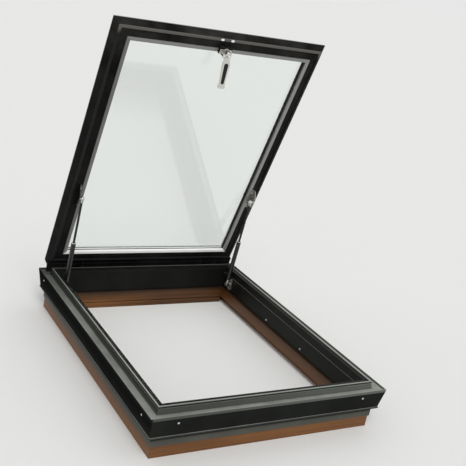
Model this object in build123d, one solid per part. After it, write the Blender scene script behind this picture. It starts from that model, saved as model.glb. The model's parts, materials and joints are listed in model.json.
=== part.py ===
from build123d import *
from math import atan2, cos, degrees, hypot, radians, sin
import os

os.makedirs("parts", exist_ok=True)

# Overall sizes in millimetres. X is the width, Y runs to the hinge side, Z is up from the base.
FRAME_WIDTH = 780.0
FRAME_LENGTH = 980.0
FRAME_DEPTH = 150.0
OPEN_ANGLE = 70.0

# The frame profile is drawn as outsets from the outer face of the rim and drops below its top.
LIP_OUTSET = 33.0
RIM_HALF_X = FRAME_WIDTH / 2 - LIP_OUTSET
RIM_HALF_Y = FRAME_LENGTH / 2 - LIP_OUTSET

# Cladding of the frame, a bent and extruded aluminium skin.
SHEET = 2.5
RIM_WIDTH = 6.0
RIM_BLOCK = 8.0
RIM_CHAMFER = 1.2
GROOVE_DROP = 4.5
GROOVE_HEIGHT = 2.6
GROOVE_DEPTH = 1.5
UPSTAND_STRAIGHT = 12.0
CHANNEL_DROP = 22.0
CHANNEL_START = 3.0
LIP_FOOT_DROP = 17.5
LIP_DROP = 12.0
LIP_WIDTH = 3.5
LIP_EASE = 0.9
APRON_DROP = 75.0
APRON_OUTSET = 24.0
HEM_HEIGHT = 4.0
HEM_PROUD = 2.0

# Lower collar and the timber members behind the skin.
COLLAR_OUTSET = 12.0
COLLAR_SHEET = 2.5
COLLAR_TOP_DROP = 84.0
COLLAR_BOTTOM_DROP = 113.0
TIMBER_BEHIND_COLLAR = 0.5
TIMBER_OUTSET = COLLAR_OUTSET - COLLAR_SHEET - TIMBER_BEHIND_COLLAR
TIMBER_SHOULDER = 20.0
TIMBER_TOP_DROP = 27.0
TIMBER_STEP_DROP = 77.5
TIMBER_LEDGE_DROP = 88.0
TIMBER_INSET = 26.0
TIMBER_EASE = 1.5
REBATE_HEIGHT = 22.0
REBATE_DROP = FRAME_DEPTH - REBATE_HEIGHT
REBATE_INSET = 5.0
LINING_GAP = 1.5

# Sash profile, drawn in the closed position on the same outsets and drops.
SASH_OUTSET = 16.5
SASH_REAR_OUTSET = 12.0
SASH_TOP_RISE = 26.4
SASH_EDGE_RISE = 21.0
SASH_FLOOR_RISE = 4.0
SASH_FLOOR_OUTSET = 2.0
SASH_BODY_WIDTH = 49.0
SASH_WALL = 3.0
SASH_FLANGE = 2.0
SASH_CHAMFER = 1.5
REAR_BEVEL_WIDTH = 5.6
REAR_BEVEL_HEIGHT = 2.3
BEAD_WIDTH = 12.0
BEAD_HEIGHT = 9.0
BEAD_CHAMFER = 1.5
SIGHT_WIDTH = SASH_BODY_WIDTH + BEAD_WIDTH
SASH_INSET = SASH_BODY_WIDTH - SASH_OUTSET

# Black inner wall between the rim and the timber, set back from the inner edge of the closed sash.
LINER_SETBACK = 13.5
LINER_INSET = SASH_INSET - LINER_SETBACK
LINER_TOP_DROP = 3.0
LINER_BEAD_PROUD = 0.8
LINER_BEAD_HEIGHT = 2.6
SIDE_BEAD_DROP = 29.0
REAR_BEAD_DROP = 11.0

# Sealed glass unit and its gaskets, from the inside to the outside.
INNER_GASKET = 0.8
PANE = 4.0
SPACER_HEIGHT = 6.0
SPACER_WIDTH = 6.5
SPACER_INSET = 1.5
GLASS_EDGE_GAP = 2.0
OUTER_GASKET = SASH_TOP_RISE - SASH_FLANGE - BEAD_HEIGHT - INNER_GASKET - 2 * PANE - SPACER_HEIGHT
GLAZING_GASKET_WIDTH = 9.0

# Sash seal that meets the rim.
SEAL_OUT = 1.5
SEAL_IN = 7.5
SEAL_GAP = 0.4
SEAL_CHAMFER = 1.2
SEAL_STUD_X = 18.0
SEAL_STUD_INSET = (SEAL_IN - SEAL_OUT) / 2
SEAL_STUD_RADIUS = 2.9
SEAL_STUD_HEAD = 3.0

# Hinges, with their axis just outside the rear rim.
HINGE_OUTSET = 19.0
HINGE_RISE = 7.0
HINGE_INSET = 87.0
HINGE_X = RIM_HALF_X - HINGE_INSET
HINGE_WIDTH = 60.0
KNUCKLE_RADIUS = 4.5
KNUCKLE_WIDTH = 20.0
KNUCKLE_GAP = 0.4
KNUCKLE_SWING_GAP = 1.4
HINGE_PIN_RADIUS = 2.5
HINGE_PIN_CLEARANCE = 0.05
HINGE_PIN_HEAD = 1.5
HINGE_PIN_HEAD_RADIUS = 3.5
LEAF = 2.0
LEAF_RISE = 22.5
HINGE_WEB = 3.0
HINGE_FOOT = 3.0
HINGE_FOOT_FROM = 6.0
HINGE_FOOT_TO = 28.0
HINGE_SCREW_X = 22.0
FOOT_SCREW_OUTSET = 11.5
LEAF_SCREW_RISE = 18.0
COVER_FOOT_FROM = 13.0
COVER_FOOT_TO = 25.0
COVER_END_OUTSET = 12.0
COVER_GAP = 3.0

# Screws: pan heads on short shanks.
SCREW_HEAD_RADIUS = 3.4
SCREW_HEAD = 1.6
SCREW_RADIUS = 2.0
SCREW_LENGTH = 7.0
SCREW_HOLE_CLEARANCE = 0.1

# Telescopic struts beside the glass. Pivots are given on the closed sash and on the frame.
STRUT_WALL_GAP = 14.0
STRUT_X = RIM_HALF_X - LINER_INSET - STRUT_WALL_GAP
SASH_PIVOT_REACH = 315.0
SASH_PIVOT_Y = RIM_HALF_Y + HINGE_OUTSET - SASH_PIVOT_REACH
SASH_PIVOT_DROP = 20.0
FRAME_PIVOT_INSET = 64.4
FRAME_PIVOT_Y = RIM_HALF_Y - FRAME_PIVOT_INSET
FRAME_PIVOT_DROP = 57.0
TUBE_RADIUS = 8.0
TUBE_BORE = 6.9
TUBE_FROM = 20.0
TUBE_TO = 186.0
TUBE_CAP = 10.0
GLAND_CLEARANCE = 0.08
ROD_RADIUS = 4.0
ROD_FROM = 151.0
PISTON_RADIUS = 6.4
PISTON_LENGTH = 9.0
EYE_RADIUS = 10.0
EYE_WIDTH = 9.0
EYE_NECK = 5.0
STRUT_PIN_RADIUS = 4.0
STRUT_PIN_CLEARANCE = 0.06
STRUT_PIN_HEAD = 6.5
PIN_HEAD_THICK = 2.0
PIN_SIDE_GAP = 0.4
SOCKET_RADIUS = 7.0
SOCKET_WIDTH = 11.0
SOCKET_COLLAR_RADIUS = 5.0
STUD_NECK_RADIUS = 3.0
FOOT_RADIUS = 6.0
FOOT_THICK = 2.0
FOOT_GAP = 0.3
BRACKET = 2.5
BRACKET_WALL_GAP = 1.3
BRACKET_HALF_LENGTH = 40.0
BRACKET_FROM = SASH_PIVOT_Y - BRACKET_HALF_LENGTH
BRACKET_TO = SASH_PIVOT_Y + BRACKET_HALF_LENGTH
BRACKET_TAPER = 25.0
BRACKET_SHOULDER_DROP = 7.0
BRACKET_BOTTOM_DROP = 26.5
BRACKET_FLANGE_SETBACK = 0.5
BRACKET_FLANGE_INSET = SASH_INSET - BRACKET_FLANGE_SETBACK
BRACKET_SCREW_SETBACK = 4.9
BRACKET_SCREW_INSET = SASH_INSET - BRACKET_SCREW_SETBACK
BRACKET_SCREW_STEP = 26.0
BRACKET_SCREWS_Y = (SASH_PIVOT_Y - BRACKET_SCREW_STEP, SASH_PIVOT_Y + BRACKET_SCREW_STEP)
ANCHOR = 3.0
ANCHOR_WIDTH = 28.0
ANCHOR_HEIGHT = 46.0
ANCHOR_SCREW_Z = 16.0

# Handle, its case on the free rail and the keeper on the front wall.
HANDLE_FROM_SASH = 2.5
HANDLE_INSET = SASH_INSET + HANDLE_FROM_SASH
CASE_WIDTH = 44.0
CASE_FRONT_GAP = 2.5
CASE_STEP_GAP = 0.5
CASE_DROP = 9.0
CASE_REAR_GAP = 1.5
CASE_REAR_INSET = SASH_INSET + BEAD_WIDTH + CASE_REAR_GAP
CASE_CHAMFER = 2.0
SPINDLE_RADIUS = 5.0
SPINDLE_CLEARANCE = 0.06
SPINDLE_TOP_DROP = 1.0
SPINDLE_BOTTOM_DROP = 30.0
CAM_TOP_DROP = 15.8
CAM_THICK = 3.5
CAM_REACH = 12.4
CAM_WIDTH = 9.0
CAM_HUB_RADIUS = 7.0
HUB_RADIUS = 10.0
HUB_TOP_DROP = 20.5
HUB_BOTTOM_DROP = 35.0
LEVER_LENGTH = 103.0
LEVER_FALL = 24.0
LEVER_THICK = 7.0
LEVER_TIP_THICK = 4.9
LEVER_NECK_WIDTH = 16.0
LEVER_SHOULDER_WIDTH = 26.0
LEVER_SHOULDER_AT = 32.0
LEVER_WAIST_WIDTH = 19.0
LEVER_WAIST_AT = 86.0
LEVER_TIP_WIDTH = 26.0
LEVER_TIP_CORNER = 3.0
LEVER_GROOVE_WIDTH = 9.5
LEVER_GROOVE_FROM = 27.0
LEVER_GROOVE_TO = 88.0
LEVER_GROOVE_DEPTH = 1.5
KEEPER_WIDTH = 44.0
KEEPER_PLATE = 3.0
KEEPER_TOP_DROP = 11.5
KEEPER_LEDGE = 3.7
KEEPER_REACH = 5.5
KEEPER_BOTTOM_DROP = 45.0
KEEPER_SCREW_X = 13.0
KEEPER_SCREW_DROP = 32.0

# Screws through the cladding and the inner wall.
APRON_SCREW_INSET_X = 50.0
APRON_SCREW_X = RIM_HALF_X - APRON_SCREW_INSET_X
APRON_SCREW_INSET_Y = 27.0
APRON_SCREW_Y = RIM_HALF_Y - APRON_SCREW_INSET_Y
APRON_SCREW_DROP = 35.0
WALL_SCREW_Y = 111.0
WALL_SCREW_DROP = 72.0

SIDES = ("front", "rear", "left", "right")
WALL_BEADS = {"front": None, "rear": REAR_BEAD_DROP, "left": SIDE_BEAD_DROP, "right": SIDE_BEAD_DROP}
HANDS = {"left": -1, "right": 1}
HINGE_Y = RIM_HALF_Y + HINGE_OUTSET
HINGE_Z = FRAME_DEPTH + HINGE_RISE
WALL_X = RIM_HALF_X - LINER_INSET
WALL_Y = RIM_HALF_Y - LINER_INSET


def height(drop):
    """Height above the base of a drop below the top of the rim."""
    return FRAME_DEPTH - drop


def prism(points, direction, length, start):
    """Solid of a closed outline of 3-D points moved along a direction."""
    shift = Vector(*direction) * start
    outline = [Vector(*point) + shift for point in points]
    return extrude(make_face(Polyline(*outline, close=True)), amount=length, dir=direction)


def run_along(profile, side):
    """A profile of outsets and drops run along one side of the rim rectangle."""
    reach = FRAME_LENGTH
    if side == "front":
        return prism([(0, -RIM_HALF_Y - o, height(d)) for o, d in profile], (1, 0, 0), 2 * reach, -reach)
    if side == "rear":
        return prism([(0, RIM_HALF_Y + o, height(d)) for o, d in profile], (1, 0, 0), 2 * reach, -reach)
    if side == "left":
        return prism([(-RIM_HALF_X - o, 0, height(d)) for o, d in profile], (0, 1, 0), 2 * reach, -reach)
    return prism([(RIM_HALF_X + o, 0, height(d)) for o, d in profile], (0, 1, 0), 2 * reach, -reach)


def quarter(side, loops):
    """Block that holds one side of a frame and ends on its mitres; loops go from outside to inside."""
    if side == "front":
        path = [(x0, y0) for x0, x1, y0, y1 in loops] + [(x1, y0) for x0, x1, y0, y1 in reversed(loops)]
    elif side == "rear":
        path = [(x0, y1) for x0, x1, y0, y1 in loops] + [(x1, y1) for x0, x1, y0, y1 in reversed(loops)]
    elif side == "left":
        path = [(x0, y0) for x0, x1, y0, y1 in loops] + [(x0, y1) for x0, x1, y0, y1 in reversed(loops)]
    else:
        path = [(x1, y0) for x0, x1, y0, y1 in loops] + [(x1, y1) for x0, x1, y0, y1 in reversed(loops)]
    return prism([(x, y, 0) for x, y in path], (0, 0, 1), 2 * FRAME_DEPTH, -1)


def loop(outset, rear_outset=None):
    """Rectangle at an outset from the rim, with its own outset at the rear if given."""
    rear = outset if rear_outset is None else rear_outset
    return (-RIM_HALF_X - outset, RIM_HALF_X + outset, -RIM_HALF_Y - outset, RIM_HALF_Y + rear)


FRAME_LOOPS = (loop(2 * LIP_OUTSET), loop(-2 * LIP_OUTSET))
SASH_INNER = SASH_OUTSET - SASH_BODY_WIDTH
SASH_SIGHT = SASH_OUTSET - SIGHT_WIDTH
REAR_SHIFT = (SASH_OUTSET - SASH_REAR_OUTSET) / SASH_BODY_WIDTH
MITRE_MARGIN = 10.0
SASH_LOOPS = (
    loop(SASH_OUTSET + MITRE_MARGIN, SASH_REAR_OUTSET + MITRE_MARGIN * (1 - REAR_SHIFT)),
    loop(SASH_INNER),
    loop(SASH_SIGHT - MITRE_MARGIN),
)


def frame_member(profile, side):
    return run_along(profile, side) & quarter(side, FRAME_LOOPS)


def opened(part):
    """A piece of the sash moved from the closed to the open position about the hinge."""
    return Pos(0, HINGE_Y, HINGE_Z) * Rot(-OPEN_ANGLE, 0, 0) * Pos(0, -HINGE_Y, -HINGE_Z) * part


def frame_ring(outer, inner, low, high):
    """Rectangular ring between two loops and two heights."""
    def slab(box):
        x0, x1, y0, y1 = box
        middle = Pos((x0 + x1) / 2, (y0 + y1) / 2, (low + high) / 2)
        return middle * Box(x1 - x0, y1 - y0, high - low)
    return slab(outer) - slab(inner)


def screw(position, direction, head_radius=SCREW_HEAD_RADIUS, head_height=SCREW_HEAD):
    """Pan-head screw; position is under the head and direction is the way the head looks."""
    plane = Plane(origin=position, z_dir=direction)
    head = Pos(0, 0, head_height / 2) * Cylinder(head_radius, head_height)
    head = chamfer(head.edges().sort_by(Axis.Z)[-1], SCREW_HEAD / 3)
    shank = Pos(0, 0, -SCREW_LENGTH / 2) * Cylinder(SCREW_RADIUS, SCREW_LENGTH)
    return plane * (head + shank)


def screw_hole(position, direction):
    plane = Plane(origin=position, z_dir=direction)
    return plane * Cylinder(SCREW_RADIUS + SCREW_HOLE_CLEARANCE, 2 * SCREW_LENGTH + SCREW_HOLE_CLEARANCE)


def drilled(part, spots):
    for position, direction in spots:
        part = part - screw_hole(position, direction)
    return part


def channel_drop(outset):
    """Drop of the channel floor, which rises from the upstand to the lip."""
    share = (outset - CHANNEL_START) / (LIP_OUTSET - LIP_WIDTH - CHANNEL_START)
    return CHANNEL_DROP + share * (LIP_FOOT_DROP - CHANNEL_DROP)


def apron_outset(drop):
    """Outset of the apron face, which leans in toward its hem."""
    share = (drop - LIP_FOOT_DROP) / (APRON_DROP - LIP_FOOT_DROP)
    return LIP_OUTSET + share * (APRON_OUTSET - LIP_OUTSET)


def cladding_profile():
    """Rim edge, upstand, drainage channel, raised lip, apron and hem in one skin."""
    lip_inner = LIP_OUTSET - LIP_WIDTH
    hem_outset = APRON_OUTSET + HEM_PROUD
    shelf_drop = APRON_DROP + HEM_HEIGHT
    shelf_inner = TIMBER_OUTSET + TIMBER_BEHIND_COLLAR
    return [
        (-RIM_WIDTH, RIM_CHAMFER), (-RIM_WIDTH + RIM_CHAMFER, 0), (-RIM_CHAMFER, 0), (0, RIM_CHAMFER),
        (0, GROOVE_DROP), (-GROOVE_DEPTH, GROOVE_DROP), (-GROOVE_DEPTH, GROOVE_DROP + GROOVE_HEIGHT),
        (0, GROOVE_DROP + GROOVE_HEIGHT), (0, UPSTAND_STRAIGHT), (CHANNEL_START, CHANNEL_DROP),
        (lip_inner, LIP_FOOT_DROP), (lip_inner, LIP_DROP + LIP_EASE), (lip_inner + LIP_EASE, LIP_DROP),
        (LIP_OUTSET - LIP_EASE, LIP_DROP), (LIP_OUTSET, LIP_DROP + LIP_EASE), (LIP_OUTSET, LIP_FOOT_DROP),
        (APRON_OUTSET, APRON_DROP), (hem_outset, APRON_DROP + HEM_PROUD / 2), (hem_outset, shelf_drop),
        (APRON_OUTSET, shelf_drop + SHEET), (shelf_inner, shelf_drop + SHEET),
        (shelf_inner, shelf_drop), (APRON_OUTSET - SHEET, shelf_drop),
        (apron_outset(CHANNEL_DROP) - SHEET, CHANNEL_DROP), (CHANNEL_START - SHEET / 2, CHANNEL_DROP + SHEET),
        (-SHEET, UPSTAND_STRAIGHT + SHEET / 2), (-SHEET, RIM_BLOCK), (-RIM_WIDTH, RIM_BLOCK),
    ]


def collar_profile():
    inner = COLLAR_OUTSET - COLLAR_SHEET
    return [
        (inner, COLLAR_TOP_DROP), (COLLAR_OUTSET, COLLAR_TOP_DROP),
        (COLLAR_OUTSET, COLLAR_BOTTOM_DROP), (inner, COLLAR_BOTTOM_DROP),
    ]


def timber_profile():
    """Frame member with a shoulder under the skin, an inner ledge and a rebate along the bottom."""
    return [
        (-SHEET, TIMBER_TOP_DROP), (TIMBER_SHOULDER, TIMBER_TOP_DROP), (TIMBER_SHOULDER, TIMBER_STEP_DROP),
        (TIMBER_OUTSET, TIMBER_STEP_DROP), (TIMBER_OUTSET, FRAME_DEPTH), (-REBATE_INSET, FRAME_DEPTH),
        (-REBATE_INSET, REBATE_DROP), (TIMBER_EASE - TIMBER_INSET, REBATE_DROP),
        (-TIMBER_INSET, REBATE_DROP - TIMBER_EASE), (-TIMBER_INSET, TIMBER_LEDGE_DROP + TIMBER_EASE),
        (TIMBER_EASE - TIMBER_INSET, TIMBER_LEDGE_DROP), (-SHEET, TIMBER_LEDGE_DROP),
    ]


def liner_profile(bead_drop):
    """Black wall, with a fine raised line at a drop if one is given."""
    wall = [
        (-LINER_INSET, LINER_TOP_DROP), (-RIM_WIDTH, LINER_TOP_DROP), (-RIM_WIDTH, RIM_BLOCK),
        (-SHEET, RIM_BLOCK), (-SHEET, TIMBER_LEDGE_DROP), (-LINER_INSET, TIMBER_LEDGE_DROP),
    ]
    if bead_drop is None:
        return wall
    half = LINER_BEAD_HEIGHT / 2
    return wall + [
        (-LINER_INSET, bead_drop + half), (-LINER_INSET - LINER_BEAD_PROUD, bead_drop + half / 2),
        (-LINER_INSET - LINER_BEAD_PROUD, bead_drop - half / 2), (-LINER_INSET, bead_drop - half),
    ]


def apron_spots():
    """Screws through the apron, on the front and on both sides."""
    lean = (LIP_OUTSET - APRON_OUTSET) / (APRON_DROP - LIP_FOOT_DROP)
    outset = apron_outset(APRON_SCREW_DROP)
    spots = []
    for hand in (-1, 1):
        place = (hand * APRON_SCREW_X, -RIM_HALF_Y - outset, height(APRON_SCREW_DROP))
        spots.append((place, (0, -1, -lean)))
        for end in (-1, 1):
            place = (hand * (RIM_HALF_X + outset), end * APRON_SCREW_Y, height(APRON_SCREW_DROP))
            spots.append((place, (hand, 0, -lean)))
    return spots


def wall_spots():
    """Screws through the inner wall on both sides."""
    return [
        ((hand * WALL_X, end * WALL_SCREW_Y, height(WALL_SCREW_DROP)), (-hand, 0, 0))
        for hand in (-1, 1) for end in (-1, 1)
    ]


def keeper_spots():
    return [
        ((hand * KEEPER_SCREW_X, -WALL_Y + KEEPER_PLATE, height(KEEPER_SCREW_DROP)), (0, 1, 0))
        for hand in (-1, 1)
    ]


def anchor_spots():
    """Screws of the plates that carry the lower ends of the struts."""
    return [
        ((hand * (WALL_X - ANCHOR), FRAME_PIVOT_Y, height(FRAME_PIVOT_DROP) + step), (-hand, 0, 0))
        for hand in (-1, 1) for step in (-ANCHOR_SCREW_Z, ANCHOR_SCREW_Z)
    ]


def foot_spots():
    """Screws of the hinge feet in the rear channel."""
    drop = channel_drop(FOOT_SCREW_OUTSET) - HINGE_FOOT
    slope = (CHANNEL_DROP - LIP_FOOT_DROP) / (LIP_OUTSET - LIP_WIDTH - CHANNEL_START)
    return [
        ((side * HINGE_X + step, RIM_HALF_Y + FOOT_SCREW_OUTSET, height(drop)), (0, -slope, 1))
        for side in (-1, 1) for step in (-HINGE_SCREW_X, HINGE_SCREW_X)
    ]


def leaf_spots():
    """Screws of the hinge leaves on the rear rail, in the closed position."""
    y = RIM_HALF_Y + SASH_REAR_OUTSET + LEAF
    z = FRAME_DEPTH + LEAF_SCREW_RISE
    return [
        ((side * HINGE_X + step, y, z), (0, 1, 0))
        for side in (-1, 1) for step in (-HINGE_SCREW_X, HINGE_SCREW_X)
    ]


def bracket_spots():
    """Screws of the strut brackets under the stiles, in the closed position."""
    under = FRAME_DEPTH + SASH_FLOOR_RISE - BRACKET
    return [
        ((hand * (RIM_HALF_X - BRACKET_SCREW_INSET), y, under), (0, 0, -1))
        for hand in (-1, 1) for y in BRACKET_SCREWS_Y
    ]


def seal_stud_spots():
    """Bright studs through the seal of the free rail, in the closed position."""
    y = -RIM_HALF_Y + SEAL_STUD_INSET
    return [((hand * SEAL_STUD_X, y, FRAME_DEPTH + SASH_FLOOR_RISE), (0, 0, -1)) for hand in (-1, 1)]


def rear_profile():
    """Hinge rail of the sash: upright outer face, level floor, glass pocket and top flange."""
    edge = SASH_REAR_OUTSET
    pocket_rise = SASH_TOP_RISE - SASH_FLANGE
    return [
        (edge - REAR_BEVEL_WIDTH, -SASH_TOP_RISE), (SASH_SIGHT, -SASH_TOP_RISE), (SASH_SIGHT, -pocket_rise),
        (SASH_INNER, -pocket_rise), (SASH_INNER, -SASH_FLOOR_RISE), (edge, -SASH_FLOOR_RISE),
        (edge, REAR_BEVEL_HEIGHT - SASH_TOP_RISE),
    ]


def rear_chamber():
    edge = SASH_REAR_OUTSET - SASH_WALL
    inner = SASH_INNER + SASH_WALL
    low = -SASH_FLOOR_RISE - SASH_WALL
    high = SASH_WALL - SASH_TOP_RISE
    return [(edge, low), (edge, high), (inner, high), (inner, low)]


def side_profile():
    """Free rail and stiles: a narrow outer edge over a face that slants in to the level floor."""
    edge = SASH_OUTSET
    pocket_rise = SASH_TOP_RISE - SASH_FLANGE
    return [
        (edge - SASH_CHAMFER, -SASH_TOP_RISE), (SASH_SIGHT, -SASH_TOP_RISE), (SASH_SIGHT, -pocket_rise),
        (SASH_INNER, -pocket_rise), (SASH_INNER, -SASH_FLOOR_RISE), (SASH_FLOOR_OUTSET, -SASH_FLOOR_RISE),
        (edge, -SASH_EDGE_RISE), (edge, SASH_CHAMFER - SASH_TOP_RISE),
    ]


def side_chamber():
    edge = SASH_OUTSET - SASH_WALL
    inner = SASH_INNER + SASH_WALL
    low = -SASH_FLOOR_RISE - SASH_WALL
    high = SASH_WALL - SASH_TOP_RISE
    return [
        (SASH_FLOOR_OUTSET - SASH_WALL / 2, low), (edge, -SASH_EDGE_RISE), (edge, high), (inner, high),
        (inner, low),
    ]


def sash_member(side):
    if side == "rear":
        body = run_along(rear_profile(), side) - run_along(rear_chamber(), side)
    else:
        body = run_along(side_profile(), side) - run_along(side_chamber(), side)
    return body & quarter(side, SASH_LOOPS)


def glazing_bead(side):
    outer = SASH_INNER
    inner = SASH_SIGHT
    profile = [
        (outer, 0), (inner + BEAD_CHAMFER, 0), (inner, -BEAD_CHAMFER),
        (inner, -BEAD_HEIGHT), (outer, -BEAD_HEIGHT),
    ]
    return run_along(profile, side) & quarter(side, SASH_LOOPS)


GLASS_OUTSET = SASH_INNER - GLASS_EDGE_GAP
INNER_PANE_LOW = FRAME_DEPTH + BEAD_HEIGHT + INNER_GASKET
OUTER_PANE_LOW = INNER_PANE_LOW + PANE + SPACER_HEIGHT


def pane(low):
    x0, x1, y0, y1 = loop(GLASS_OUTSET)
    return Pos(0, 0, low + PANE / 2) * Box(x1 - x0, y1 - y0, PANE)


def spacer_bar():
    outer = GLASS_OUTSET - SPACER_INSET
    return frame_ring(loop(outer), loop(outer - SPACER_WIDTH), INNER_PANE_LOW + PANE, OUTER_PANE_LOW)


def glazing_gasket(low, thick):
    return frame_ring(loop(GLASS_OUTSET), loop(GLASS_OUTSET - GLAZING_GASKET_WIDTH), low, low + thick)


def sash_seal():
    """Rubber ring under the sash floor, bevelled where it meets the rim and open around the studs."""
    low = FRAME_DEPTH + SEAL_GAP
    ring = frame_ring(loop(SEAL_OUT), loop(-SEAL_IN), low, FRAME_DEPTH + SASH_FLOOR_RISE)
    ring = chamfer(ring.edges().group_by(Axis.Z)[0], SEAL_CHAMFER)
    for position, direction in seal_stud_spots():
        opening = Cylinder(SEAL_STUD_RADIUS + SCREW_HOLE_CLEARANCE, 3 * SASH_FLOOR_RISE)
        ring = ring - Plane(origin=position, z_dir=direction) * opening
    return ring


def head_lining():
    """Board seated in the rebate of the rear member, cut back at its ends from the mitres."""
    half = RIM_HALF_X - REBATE_INSET - LINING_GAP
    low = 0
    high = height(REBATE_DROP + LINING_GAP)
    depth = TIMBER_INSET - REBATE_INSET
    middle = Pos(0, RIM_HALF_Y - REBATE_INSET - depth / 2, (low + high) / 2)
    board = middle * Box(2 * half, depth, high - low)
    board = board & (Pos(0, LINING_GAP, 0) * quarter("rear", FRAME_LOOPS))
    return chamfer(board.edges().filter_by(Axis.X).group_by(Axis.Y)[0], TIMBER_EASE / 2)


def x_cylinder(radius, width, x, y, z):
    return Pos(x, y, z) * Rot(0, 90, 0) * Cylinder(radius, width)


def hinge_cover():
    """Strips that close the gap under the hinge rail between and beside the hinges."""
    floor_from = channel_drop(COVER_FOOT_FROM)
    floor_to = channel_drop(COVER_FOOT_TO)
    web_from = HINGE_OUTSET - HINGE_WEB / 2
    web_to = HINGE_OUTSET + HINGE_WEB / 2
    strip = run_along([
        (COVER_FOOT_FROM, floor_from), (COVER_FOOT_TO, floor_to), (COVER_FOOT_TO, floor_to - HINGE_FOOT),
        (web_to, channel_drop(web_to) - HINGE_FOOT), (web_to, -HINGE_RISE), (web_from, -HINGE_RISE),
        (web_from, channel_drop(web_from) - HINGE_FOOT), (COVER_FOOT_FROM, floor_from - HINGE_FOOT),
    ], "rear")
    between = HINGE_X - HINGE_WIDTH / 2 - COVER_GAP
    beside = HINGE_X + HINGE_WIDTH / 2 + COVER_GAP
    end = RIM_HALF_X + COVER_END_OUTSET
    pieces = []
    for start, stop in ((-end, -beside), (-between, between), (beside, end)):
        middle = (start + stop) / 2
        stretch_box = Pos(middle, 0, 0) * Box(stop - start, 2 * FRAME_LENGTH, 4 * FRAME_DEPTH)
        edge = x_cylinder(KNUCKLE_RADIUS, stop - start, middle, HINGE_Y, HINGE_Z)
        pieces.append(((strip & stretch_box) + edge).solid())
    return pieces


def hinge_bore(x):
    return x_cylinder(HINGE_PIN_RADIUS + HINGE_PIN_CLEARANCE, 2 * HINGE_WIDTH, x, HINGE_Y, HINGE_Z)


def hinge_frame_leaf(side):
    """Foot in the channel and web up to the two outer knuckles."""
    x = side * HINGE_X
    foot = [
        (HINGE_FOOT_FROM, channel_drop(HINGE_FOOT_FROM)), (HINGE_FOOT_TO, channel_drop(HINGE_FOOT_TO)),
        (HINGE_FOOT_TO, channel_drop(HINGE_FOOT_TO) - HINGE_FOOT),
        (HINGE_FOOT_FROM, channel_drop(HINGE_FOOT_FROM) - HINGE_FOOT),
    ]
    web = [
        (HINGE_OUTSET - HINGE_WEB / 2, channel_drop(HINGE_OUTSET) - HINGE_FOOT / 2),
        (HINGE_OUTSET + HINGE_WEB / 2, channel_drop(HINGE_OUTSET) - HINGE_FOOT / 2),
        (HINGE_OUTSET + HINGE_WEB / 2, -HINGE_RISE), (HINGE_OUTSET - HINGE_WEB / 2, -HINGE_RISE),
    ]
    strip = Pos(x, 0, 0) * Box(HINGE_WIDTH, 2 * FRAME_LENGTH, 4 * FRAME_DEPTH)
    notch = 2 * (KNUCKLE_RADIUS + KNUCKLE_SWING_GAP)
    middle = Pos(x, HINGE_Y, HINGE_Z) * Box(KNUCKLE_WIDTH + 2 * KNUCKLE_GAP, notch, notch)
    body = run_along(foot, "rear") + run_along(web, "rear")
    body = (body & strip) + x_cylinder(KNUCKLE_RADIUS, HINGE_WIDTH, x, HINGE_Y, HINGE_Z)
    return drilled(body - middle - hinge_bore(x), foot_spots())


def hinge_sash_leaf(side):
    """Plate on the rear rail with the middle knuckle."""
    x = side * HINGE_X
    y = RIM_HALF_Y + SASH_REAR_OUTSET
    low = FRAME_DEPTH + SASH_FLOOR_RISE
    plate = Pos(x, y + LEAF / 2, low + (LEAF_RISE - SASH_FLOOR_RISE) / 2)
    plate = plate * Box(HINGE_WIDTH, LEAF, LEAF_RISE - SASH_FLOOR_RISE)
    arm_length = HINGE_Y - y
    arm = Pos(x, y + arm_length / 2, HINGE_Z) * Box(KNUCKLE_WIDTH, arm_length, HINGE_PIN_RADIUS)
    body = plate + arm + x_cylinder(KNUCKLE_RADIUS, KNUCKLE_WIDTH, x, HINGE_Y, HINGE_Z)
    return drilled(body - hinge_bore(x), leaf_spots())


def hinge_pin(side):
    x = side * HINGE_X
    shaft = x_cylinder(HINGE_PIN_RADIUS, HINGE_WIDTH + 2 * PIN_SIDE_GAP, x, HINGE_Y, HINGE_Z)
    reach = HINGE_WIDTH / 2 + PIN_SIDE_GAP + HINGE_PIN_HEAD / 2
    for end in (-1, 1):
        shaft = shaft + x_cylinder(HINGE_PIN_HEAD_RADIUS, HINGE_PIN_HEAD, x + end * reach, HINGE_Y, HINGE_Z)
    return shaft


def open_pivot():
    """Place of the strut pivot of the sash with the sash open, as Y and Z."""
    along = HINGE_Y - SASH_PIVOT_Y
    above = height(SASH_PIVOT_DROP) - HINGE_Z
    angle = radians(OPEN_ANGLE)
    y = HINGE_Y - along * cos(angle) + above * sin(angle)
    z = HINGE_Z + along * sin(angle) + above * cos(angle)
    return y, z


PIVOT_Y, PIVOT_Z = open_pivot()
STRUT_DY = PIVOT_Y - FRAME_PIVOT_Y
STRUT_DZ = PIVOT_Z - height(FRAME_PIVOT_DROP)
STRUT_LENGTH = hypot(STRUT_DY, STRUT_DZ)


def on_strut(hand, part):
    """A piece drawn along +Z from the lower pivot, put on the strut of one side."""
    lean = degrees(atan2(-STRUT_DY, STRUT_DZ))
    return Pos(hand * STRUT_X, FRAME_PIVOT_Y, height(FRAME_PIVOT_DROP)) * Rot(lean, 0, 0) * part


def stretch(radius, start, end):
    return Pos(0, 0, (start + end) / 2) * Cylinder(radius, end - start)


def strut_tube(hand):
    """Tube with a closed lower end and a gland that guides the rod."""
    body = stretch(TUBE_RADIUS, TUBE_FROM, TUBE_TO)
    body = chamfer(body.edges().filter_by(GeomType.CIRCLE), TUBE_RADIUS / 6)
    body = body - stretch(TUBE_BORE, TUBE_FROM + TUBE_CAP, TUBE_TO - TUBE_CAP)
    body = body - stretch(ROD_RADIUS + GLAND_CLEARANCE, TUBE_TO - 2 * TUBE_CAP, TUBE_TO + TUBE_CAP)
    return on_strut(hand, body)


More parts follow.
